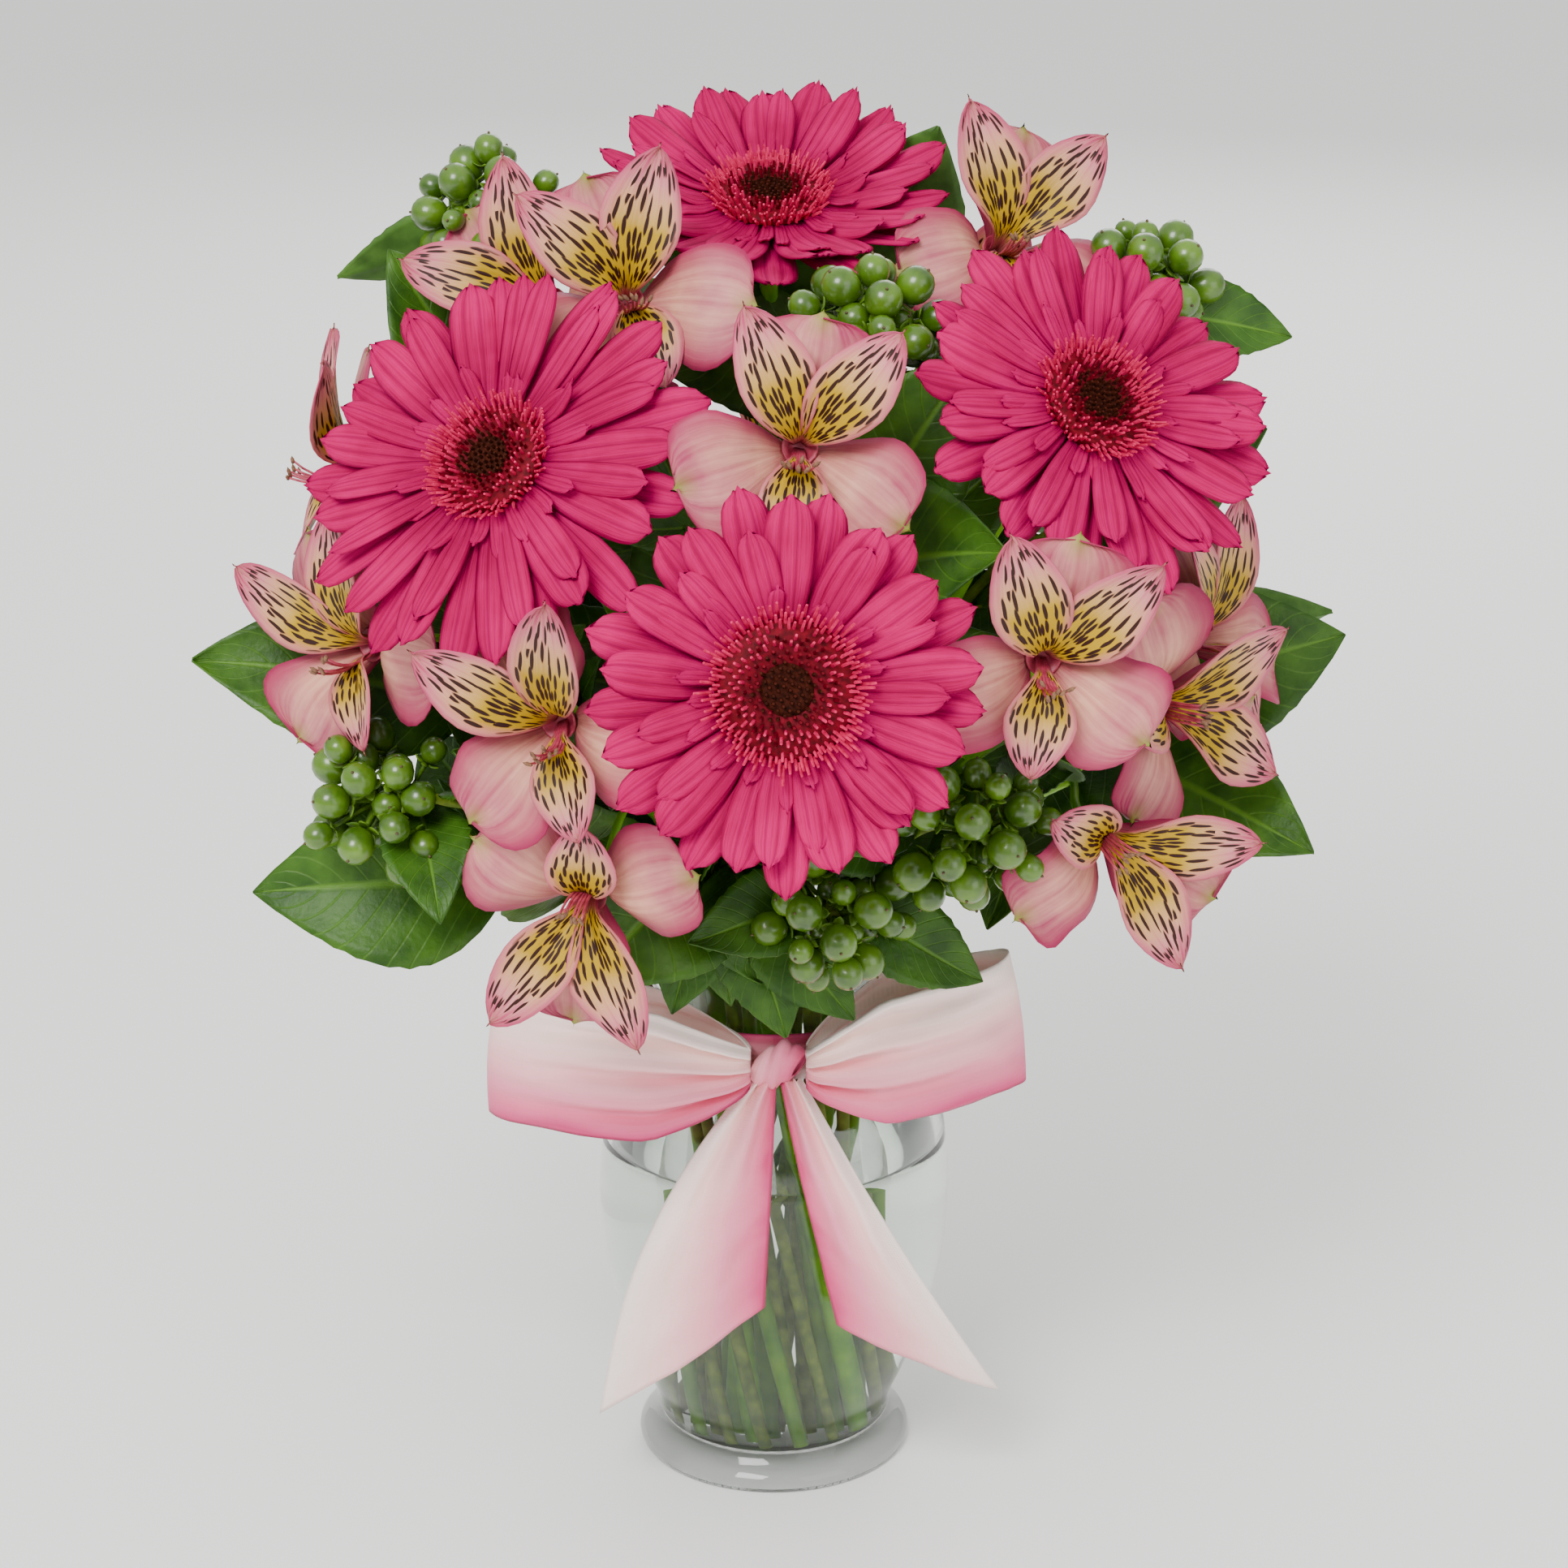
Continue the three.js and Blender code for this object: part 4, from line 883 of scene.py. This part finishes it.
def tepal(place, angle, form, line, width):
    """A tepal: a narrow claw that opens to a broad, waved and lightly pleated limb with a small point."""
    turned = place @ Matrix.Rotation(angle, 4, "Z")
    phase, twist = random.uniform(*ANY_PHASE), random.uniform(-0.2, 0.2)
    fold = random.uniform(*form["fold"])
    ruffle = random.uniform(0.7, 1.6) * form["ruffle"]
    lopsided = random.uniform(-0.12, 0.12)
    widest = form["widest"]

    def surface(u, v):
        v = 1 - (1 - v) ** 1.35
        span = min(v, 0.9999) * (len(line) - 1)
        along = smooth_curve(line, int(span), span - int(span))
        if v < widest:
            share = v / widest
            spread = 0.1 + 0.9 * (share * share * (3 - 2 * share)) ** form["opening"]
        else:
            share = (v - widest) / (1 - widest)
            spread = max(0.0, 1 - share ** form["shoulder"]) ** form["closing"]
        lobes = noise.noise(Vector((3.4 * v, math.copysign(2, u), phase)))
        spread *= 1 + form["lobes"] * lobes * v + lopsided * u * v
        across = u * (spread * width / 2 + 0.25)
        point = form["point"] * v ** 14 * max(0, 1 - 2.4 * abs(u))
        wave = ruffle * math.sin(8.5 * v + phase + 2 * u) * abs(u) ** 1.6 * v
        pleat = form["pleat"] * math.sin(5 * u + phase) * math.sin(math.pi * v)
        height = fold * abs(u) ** 1.5 * math.sin(math.pi * min(1, v * 1.05)) + wave + pleat
        height -= form["groove"] * max(0, 1 - 4 * abs(u)) * math.sin(math.pi * v)
        return turned @ Vector((along.x + point, across, along.y + height + twist * across * v))

    return blade(12, 15, surface, 0.4)


def make_alstroemeria(number, at, look, turn):
    place = head_frame(at, look, turn)
    node = f"alstroemeria_{number}"
    surface = cad_surface(node)
    flower = Piece(
        f"alstroemeria_bloom_{number}", [OUTER_TEPAL, INNER_TEPAL, FILAMENT, ANTHER, ALSTROEMERIA_GREEN])
    depth = BLOOM_DEPTH
    ovary = [
        (0, -OVARY), (1.6, -OVARY), (3.2, -OVARY + 2.5), (3.9, -OVARY + 5.5), (3.2, 1 - depth),
        (0, 3 - depth)]
    flower.add(lathe(ovary, 12, place), ALSTROEMERIA_GREEN)
    throat = [
        (0, 1.5 - depth), (3, 1.5 - depth), (4, 5 - depth), (5.2, -8), (4.6, -8), (3.2, 5.4 - depth),
        (0, 4 - depth)]
    flower.add(lathe(throat, 16, place), FILAMENT)
    for degrees, form, shrinks in TEPALS:
        angle = math.radians(degrees)
        turned = place @ Matrix.Rotation(angle, 4, "Z")

        def probes(option):
            line = tepal_line(form, *option)
            middle = line[2].lerp(line[3], 0.5)
            return [turned @ Vector((point.x, 0, point.y)) for point in (line[2], middle, line[3])]

        options = [(bend, shrink) for shrink in shrinks for bend in TEPAL_BENDS]
        found = best_fit(surface, options, probes, depth=0.3, near=0.8, limit=1.8)
        if found:
            width = form["width"] * (random.uniform(1.04, 1.16) * (0.7 + 0.3 * found[1]))
            flower.add(tepal(place, angle, form, tepal_line(form, *found), width), form["skin"])
    for i in range(STAMENS):
        side = (i - (STAMENS - 1) / 2) * 1.5
        length = random.uniform(0.85, 1.05)
        start = Vector((side * 0.3, -0.5, 5 - depth))
        bent = Vector((side * 0.7, -5.5 - abs(side) * 0.2, 0))
        end = Vector((side + random.uniform(-0.7, 0.7), -5 + random.uniform(-2, 2), 16 * length))
        points = [place @ bezier(start, bent, bent + Vector((0, -1.5, 8)), end, k / 7) for k in range(8)]
        flower.add(tube(points, lambda share: 0.55 - 0.2 * share, 6), FILAMENT)
        anther = along_frame(points[-1], place.to_3x3() @ Vector((0.6 * side, 2, 1)))
        flower.add(lathe([(0, -1.5), (0.55, -0.9), (0.62, 0.4), (0, 1.6)], 7, anther), ANTHER)
    flower.finish("alstroemeria", node)


def make_umbel(index, end):
    """A stem whose top branches into the pedicels of its flowers."""
    node = f"alstroemeria_stem_{index + 1}"
    stalk = Piece(f"alstroemeria_stalk_{index + 1}", [ALSTROEMERIA_GREEN, BERRY_LEAF_UPPER, LEAF_UNDER])
    root = Vector(end)
    blooms = [bloom for bloom in ALSTROEMERIAS if bloom[0] == index]
    middle = sum((Vector(at) - root for _, at, _, _ in blooms), Vector()).normalized()
    route = grow_stem(stalk, node, root, middle, "alstroemeria", ALSTROEMERIA_GREEN)
    start = root - middle * 2.5
    for _, at, look, turn in blooms:
        foot = head_frame(at, look, turn) @ Vector((0, 0, -OVARY - 0.3))
        reach = (foot - start).length
        second = start + middle * 0.4 * reach
        third = foot - direction(look) * 0.4 * reach
        points = [bezier(start, second, third, foot, k / 10) for k in range(11)]
        stalk.add(tube(points, lambda share: 1.25 + 0.15 * share, 8), ALSTROEMERIA_GREEN)
    for i in range(STALK_LEAVES):
        fill_leaf(stalk, below(route, 4 + 6 * i), (54, 15), BERRY_LEAF_UPPER, ALSTROEMERIA_GREEN)
    stalk.finish("alstroemeria_stem", node)


# Hypericum

BERRY_RADIUS = 5.5
BERRY_LENGTH = 11.6
# The berries of the solids are a little longer
SOLID_BERRY_LENGTH = 12
SEPALS = 5
# Each spray is filled up to this many berries, none of them nearer to another than this
BERRIES = 28
BERRY_GAP = 9.6
BERRY_TRIES = 900
TWIG_LEAVES = 4


def berry(piece, root, aim, stalk, size):
    """A berry on its stalk, with a pointed top, a dry style and five sepals turned back under it."""
    place = along_frame(root, aim)
    piece.add(tube([place @ Vector((0, 0, stalk * k / 3)) for k in range(4)], 0.75, 6), SEPAL_GREEN)
    radius, length = BERRY_RADIUS * size, BERRY_LENGTH * size
    round_points = [
        (radius * math.sin(math.pi * share) ** 0.86, length * (0.5 - 0.5 * math.cos(math.pi * share)) ** 0.94)
        for share in (0.12, 0.25, 0.38, 0.5, 0.62, 0.74, 0.86, 0.95)]
    body = place @ Matrix.Translation((0, 0, stalk - 0.4))
    piece.add(lathe([(0, 0), *round_points, (0, length)], 14, body), BERRY_SKIN)
    style = [(0, length - 0.5), (0.55, length - 0.2), (0.35, length + 0.5), (0, length + 0.7)]
    piece.add(lathe(style, 6, body), BERRY_TIP)
    for i in range(SEPALS):
        turned = body @ Matrix.Rotation(i / SEPALS * TURN, 4, "Z")

        def surface(u, v):
            half = 1.7 * size * math.sin(math.pi * (0.12 + 0.86 * v)) ** 0.8
            return turned @ Vector((0.8 + 4.8 * size * v, u * half, -0.5 - 0.6 * v + 1.6 * v * v))

        piece.add(blade(2, 4, surface, 0.35), SEPAL_GREEN)


def make_hypericum(number, at, look, leaves):
    node = f"hypericum_{number}"
    spray = Piece(
        f"hypericum_spray_{number}",
        [WOODY_STEM, BERRY_SKIN, SEPAL_GREEN, BERRY_TIP, BERRY_LEAF_UPPER, LEAF_UNDER])
    facing = head_frame(at, look).to_3x3()
    route = grow_stem(spray, node, Vector(at), direction(look), "hypericum", WOODY_STEM)
    surface = cad_surface(node)
    down = (route[-6] - route[-1]).normalized()
    placed = []
    for distance, lean, count, stalk in BERRY_TIERS:
        for i in range(count):
            shift = draw(0, 1)
            root = Vector(at) + down * distance

            def probes(aim):
                return [root + aim * (stalk + SOLID_BERRY_LENGTH)]

            aims = []
            for nudge in (0, 0.25, -0.25, 0.5):
                for tilt in (lean, lean - 14, lean + 14):
                    around = (i + nudge + shift * 0.2 + distance * 0.13) / count * TURN
                    aims.append(facing @ leaning(around, math.radians(tilt)))
            aim = best_fit(surface, aims, probes, depth=0, near=0, limit=4)
            if aim:
                placed.append(root + aim * (stalk + BERRY_RADIUS))
                berry(spray, root, aim, stalk, random.uniform(0.94, 1.04))
    # Smaller berries fill the gaps that the solids leave between these
    tries = 0
    while len(placed) < BERRIES and tries < BERRY_TRIES:
        tries += 1
        around, aside = random.uniform(*ANY_PHASE), math.radians(random.uniform(12, 105))
        aim = facing @ leaning(around, aside)
        stalk = random.uniform(6, 18)
        size = random.uniform(0.62, 0.9)
        root = Vector(at) + down * random.uniform(2, 12)
        middle = root + aim * (stalk + BERRY_RADIUS * size)
        if all((middle - other).length > BERRY_GAP for other in placed):
            placed.append(middle)
            berry(spray, root, aim, stalk, size)
    for i, tip in enumerate(leaves):
        grow_leaf(spray, surface, below(route, 16 + 4 * i), tip, BERRY_LEAF, BERRY_LEAF_UPPER, SEPAL_GREEN)
    for i in range(TWIG_LEAVES):
        fill_leaf(spray, below(route, 26 + 13 * i), (48, 24), BERRY_LEAF_UPPER, SEPAL_GREEN)
    spray.finish("hypericum", node)


# Salal and all leaves

# How a leaf may turn and shrink, in the order that the source tries
LEAF_TURNS = [0, 12, -12, 24, -24, 38, -38, 55, -55]
LEAF_SHRINKS = (1, 0.86, 0.72, 0.6)
# The leaves that fill the bouquet keep within this round form and above the bow
BOUQUET_MIDDLE = (0, 4, 300)
BOUQUET_REACH = (136, 122, 108)
FILL_LOWEST = 190
# A leaf is tried at these sizes in turn, each time in another direction
FILL_SCALES = [1] * 30 + [0.8] * 25 + [0.62] * 15
FILL_FROM_SOLIDS = 2.4
FILL_FROM_LEAVES = 5
SPRIG_LEAVES = 7


def leaf_place(base, tip, turn, shrink, size):
    """The frame, length and stalk share of a leaf that is turned about its length and then made smaller."""
    along = Vector(tip) - base
    length = along.length * shrink
    along.normalize()
    outward = Vector((0, -1 if tip[1] < 40 else 1, 0.7))
    side = outward.cross(along).normalized()
    face = along.cross(side)
    place = Matrix((along, side, face)).transposed().to_4x4()
    place.translation = base
    place = place @ Matrix.Rotation(math.radians(turn), 4, "X")
    return place, length, max(0.08, 1 - size[0] / length), shrink


def leaf_arch(width, share):
    return 0.24 * width * math.sin(math.pi * share) * (1 - 0.5 * share)


def leaf_probes(option, width, inset):
    """Points on a leaf: its tip, and three across it in two places."""
    place, length, stalk, shrink = option
    points = [place @ Vector((length, 0, 0))]
    for at, wide in ((0.3, 0.46), (0.68, 0.37)):
        share = stalk + (1 - stalk) * at
        for side in (-inset, 0, inset):
            lifted = leaf_arch(width, share) + 0.1 * width * math.sin(math.pi * share) * abs(side)
            points.append(place @ Vector((length * share, wide * width * shrink * side, lifted)))
    return points


def add_leaf(piece, option, width, upper, stalk_skin):
    """A pointed leaf on its stalk, arched and folded along its midrib."""
    place, length, stalk, shrink = option
    phase, wave = random.uniform(*ANY_PHASE), random.uniform(0.015, 0.035) * width
    tipped, sweep = random.uniform(-0.07, 0.02) * width, random.uniform(-0.12, 0.12) * width

    def surface(u, v):
        share = stalk + (1 - stalk) * v
        half = width / 2 * shrink * (math.sin(math.pi * v ** 0.8) ** 0.92 if 0 < v < 1 else 0) + 0.25
        tooth = 0.4 * math.sin(64 * v) * abs(u) ** 8 * math.sin(math.pi * v)
        height = leaf_arch(width, share) + 0.1 * width * math.sin(math.pi * share) * abs(u) ** 1.4
        height += wave * math.sin(8 * v + phase) * u * u + tipped * v ** 4 - 0.5 * max(0, 1 - abs(u) * 5)
        return place @ Vector((length * share, -u * (half + tooth) + sweep * v * v * (1 - v) * 2, height))

    under = piece.materials.index(LEAF_UNDER) - piece.materials.index(upper)
    piece.add(blade(10, 24, surface, 0.5, back=under), upper)
    shares = [stalk * 1.5 * k / 4 for k in range(5)]
    points = [place @ Vector((length * share, 0, leaf_arch(width, share) - 0.4)) for share in shares]
    piece.add(tube(points, lambda share: (1.15 - 0.5 * share) * width / LEAF[1] + 0.2, 7), stalk_skin)


def grow_leaf(piece, surface, base, tip, size, upper, stalk_skin):
    """A leaf laid on the one that stands in the solid."""
    def probes(option):
        return leaf_probes(option, size[1], 0.7)

    options = [leaf_place(base, tip, turn, shrink, size) for shrink in LEAF_SHRINKS for turn in LEAF_TURNS]
    found = best_fit(surface, options, probes, depth=0.4, near=0.5, limit=3)
    if found:
        add_leaf(piece, found, size[1], upper, stalk_skin)


def all_solids():
    """Every solid as one surface, which the leaves that fill the bouquet are kept clear of."""
    whole = bmesh.new()
    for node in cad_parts.values():
        whole.from_mesh(node.data)
    bmesh.ops.scale(whole, vec=(1 / MM, 1 / MM, 1 / MM), verts=whole.verts[:])
    surface = BVHTree.FromBMesh(whole)
    whole.free()
    return surface


SOLIDS = all_solids()
filled = []


def fill_leaf(piece, base, size, upper, stalk_skin):
    """A leaf that grows into the space between the heads, or none where there is no room for it."""
    others = KDTree(len(filled))
    for i, point in enumerate(filled):
        others.insert(point, i)
    others.balance()
    for scale in FILL_SCALES:
        around, lift = random.uniform(*ANY_PHASE), random.uniform(-0.35, 1.0)
        aim = Vector((math.cos(around), math.sin(around), lift)).normalized()
        outward = Vector((base.x, base.y, 0))
        if aim.dot(outward) < -0.2 * outward.length:
            continue
        tip = base + aim * (size[0] + 8) * scale
        spread = Vector([(tip[k] - BOUQUET_MIDDLE[k]) / BOUQUET_REACH[k] for k in range(3)])
        if spread.length > 1 or tip.z < FILL_LOWEST:
            continue
        option = leaf_place(base, tip, random.uniform(-40, 40), 1, (size[0] * scale, size[1]))
        option = (*option[:3], scale)
        points = leaf_probes(option, size[1], 0.9)
        if filled and any(others.find(point)[2] < FILL_FROM_LEAVES for point in points):
            continue
        if any(SOLIDS.find_nearest(point, FILL_FROM_SOLIDS)[0] for point in points):
            continue
        filled.extend(points)
        add_leaf(piece, option, size[1], upper, stalk_skin)
        return


def make_salal(number, end, tips):
    node = f"salal_{number}"
    sprig = Piece(f"salal_sprig_{number}", [LEAF_UPPER, LEAF_UNDER, WOODY_STEM])
    first = (Vector(tips[0]) - Vector(end)).normalized()
    route = grow_stem(sprig, node, Vector(end), first, "salal", WOODY_STEM)
    surface = cad_surface(node)
    for i, tip in enumerate(tips):
        grow_leaf(sprig, surface, below(route, 2 + 9 * i), tip, LEAF, LEAF_UPPER, WOODY_STEM)
    for i in range(SPRIG_LEAVES):
        root = below(route, 24 + 13 * i)
        if root.z > NECK_HEIGHT + 36:
            fill_leaf(sprig, root, (62, 36), LEAF_UPPER, WOODY_STEM)
    for twig, tip, turn, size in SPARE_LEAVES:
        if twig == number:
            spare = leaf_place(below(route, 6), tip, turn, 1, size)
            add_leaf(sprig, spare, size[1], LEAF_UPPER, WOODY_STEM)
    sprig.finish("salal", node)


# Ribbon

BAND_DEPTH = 3.2
KNOT_SIZE = Vector((8, 3.6, 7.5))
KNOT = Vector((1.5, -NECK_RADIUS - BAND_DEPTH - KNOT_SIZE.y - 1.2, NECK_HEIGHT))
RIBBON_WALL = 0.35
SIDES = {-1: "left", 1: "right"}


def closed_sheet(columns, rows, surface, thickness, start=0, share=1):
    """A bent grid whose ends meet, which shows a share of the ribbon's width from start on."""
    shape = bent_grid(columns, rows, surface)
    uv = shape.loops.layers.uv["UVMap"]
    for face in shape.faces:
        for corner in face.loops:
            corner[uv].uv.x = start + share * corner[uv].uv.x
    bmesh.ops.remove_doubles(shape, verts=shape.verts[:], dist=0.01)
    shape.normal_update()
    bmesh.ops.solidify(shape, geom=shape.faces[:], thickness=thickness)
    bmesh.ops.recalc_face_normals(shape, faces=shape.faces[:])
    return shape


def ribbon_part(node, shape):
    part = Piece(node + "_cloth", [RIBBON_CLOTH])
    part.add(shape, RIBBON_CLOTH)
    return part.finish("ribbon", node)


def make_loop(side, reach, drop, lean, height):
    """A loop of ribbon, gathered into pleats at the knot and open at its outer end."""
    phase = 0.4 if side < 0 else 2.1

    def surface(u, v):
        around = TURN * (0.02 + 0.96 * v)
        along = (1 - math.cos(around)) / 2
        bulge = -13.2 * math.sin(around) * (1 if v < 0.5 else 0.7)
        gathered = 11 + (height - 11) * min(1, along * 2.6) ** 0.75
        z = -u / 2 * gathered - drop * along
        near = 1.25 * (1 - along) ** 0.8
        coarse = 2.4 * math.sin(3.4 * math.pi * u + phase + 2.5 * v)
        pleat = near * (coarse + 1.2 * math.sin(6.6 * math.pi * u + 2 * phase))
        crumple = 1.6 * noise.noise(Vector((2.2 * u, 9 * v, phase))) * (0.4 + along)
        crumple += 0.8 * noise.noise(Vector((4 * u, 24 * v, phase)))
        ripple = 1.2 * math.sin(2.2 * u + 5 * along + phase) * along
        x = KNOT_SIZE.x + 0.2 + along * reach * (1 - 0.02 * u * u) - lean * u / 2 * along
        return KNOT + Vector((side * x, -1 + bulge + 7 * along + pleat + crumple + ripple, z))

    cloth = ribbon_part(f"ribbon_loop_{SIDES[side]}", blade(34, 52, surface, RIBBON_WALL))


def make_tail(side, tip, inner, swell):
    """A tail of ribbon that falls from under the knot and opens over the belly of the vase.
    """
    belly = -max(radius for _, radius in VASE_OUTLINE) - 4.6
    top = KNOT.z - KNOT_SIZE.z + 2.5
    outer_top = Vector((side * 7, top))
    inner_top = Vector((side * 0.5, top))

    def surface(u, v):
        across = (1 - u) / 2
        outer_edge = outer_top.lerp(Vector(tip), v)
        outer_edge.x += side * swell * math.sin(math.pi * v ** 0.8)
        point = inner_top.lerp(Vector(inner), v).lerp(outer_edge, across)
        hang = KNOT.y + (belly - KNOT.y) * math.sin(min(1, v * 1.9) * math.pi / 2)
        fold = 1.9 * math.sin(across * 4.4 * math.pi + 0.6 * side) * (1 - 0.85 * v)
        fold += 1.2 * noise.noise(Vector((3 * across, 4 * v, side)))
        fold += 0.7 * noise.noise(Vector((8 * across, 9 * v, side)))
        curl = 2.2 * math.sin(math.pi * across) * math.sin(2.6 * v)
        return Vector((KNOT.x + point.x, hang + point.x * point.x / 240 * v + fold - curl, point.y))

    cloth = ribbon_part(f"ribbon_tail_{SIDES[side]}", blade(26, 40, surface, RIBBON_WALL))


def make_band():
    """The turn of ribbon round the neck, gathered to a few soft folds."""
    def surface(u, v):
        z = NECK_HEIGHT + 7 * u
        fold = 0.9 * (1 + math.sin(9 * u + 2 * math.sin(6.283 * v))) * (1 - u * u)
        radius = outer_radius(z) + 1.2 + fold
        angle = TURN * v - math.pi / 2
        return Vector((radius * math.cos(angle), radius * math.sin(angle), z))

    cloth = ribbon_part("ribbon_band", closed_sheet(12, 96, surface, 0.5))


def make_knot():
    """The knot: the rose half of the ribbon, crossed over the loops and drawn tight."""
    def surface(u, v):
        angle = TURN * v - math.pi / 2
        pleat = 1 + 0.15 * math.sin(8.5 * u + 1.3 + 0.9 * math.sin(angle)) * (1 - u * u)
        waist = 1 - 0.5 * abs(u) ** 2.2
        x = KNOT_SIZE.x * u * 0.82 + 2.6 * math.sin(angle + 0.6)
        y = KNOT_SIZE.y * 0.9 * waist * pleat * math.cos(angle)
        z = KNOT_SIZE.z * 0.9 * waist * pleat * math.sin(angle)
        return KNOT + Vector((x, y, z))

    cloth = ribbon_part("ribbon_knot", closed_sheet(26, 36, surface, 0.6, start=0.52, share=0.42))


make_vase()
make_water()
for number, (at, look, turn, cup, size) in enumerate(GERBERAS, 1):
    make_gerbera_petals(number, at, look, turn, cup, size)
    make_gerbera_disc(number, at, look, turn)
    make_gerbera_stem(number, at, look, turn)
for number, (_, at, look, turn) in enumerate(ALSTROEMERIAS, 1):
    make_alstroemeria(number, at, look, turn)
for index, end in enumerate(UMBELS):
    make_umbel(index, end)
for number, spray in enumerate(HYPERICUMS, 1):
    make_hypericum(number, *spray)
for number, (end, tips) in enumerate(SALALS, 1):
    make_salal(number, end, tips)
make_band()
make_knot()
make_loop(-1, 80, -3, -4, 42)
make_loop(1, 66, -14, -6, 42)
make_tail(-1, (-56, 31), (-4, 75), 12)
make_tail(1, (70, 35), (18, 68), 1)


# Studio: a wide pale floor, an even surround that is brighter above, and three large soft lamps

FLOOR_SIZE = 14
LAMPS_AIM = Vector((0, 0, 0.25))

floor_shape = new_shape()
bmesh.ops.create_grid(floor_shape, x_segments=1, y_segments=1, size=FLOOR_SIZE)
floor_mesh = bpy.data.meshes.new("floor")
floor_shape.to_mesh(floor_mesh)
floor_shape.free()
floor_mesh.materials.append(PAPER)
floor = bpy.data.objects.new("floor", floor_mesh)
bpy.context.scene.collection.objects.link(floor)

world = bpy.data.worlds.new("studio")
world.use_nodes = True
surround = world.node_tree.nodes["Background"]
surround.inputs["Color"].default_value = linear("#FFFFFF")
sky_height = add(world.node_tree, "TexCoord", {}, "Generated")
sky_height = add(world.node_tree, "SeparateXYZ", {0: sky_height}, "Z")
glow = add(world.node_tree, "MapRange", {
    "Value": sky_height, "From Min": 0.0, "From Max": 0.7, "To Min": 0.45, "To Max": 1.2})
world.node_tree.links.new(glow, surround.inputs["Strength"])
bpy.context.scene.world = world


def soft_lamp(name, place, size, watts):
    data = bpy.data.lights.new(name, "AREA")
    data.size = size
    data.energy = watts
    lamp = bpy.data.objects.new(name, data)
    lamp.location = place
    lamp.rotation_euler = (LAMPS_AIM - Vector(place)).to_track_quat("-Z", "Y").to_euler()
    bpy.context.scene.collection.objects.link(lamp)


soft_lamp("key", (-0.6, -1.4, 1.6), 0.8, 44)
soft_lamp("fill", (1.2, -1.3, 0.8), 1.2, 10)
soft_lamp("back", (0.3, 1.7, 1.1), 1.2, 14)
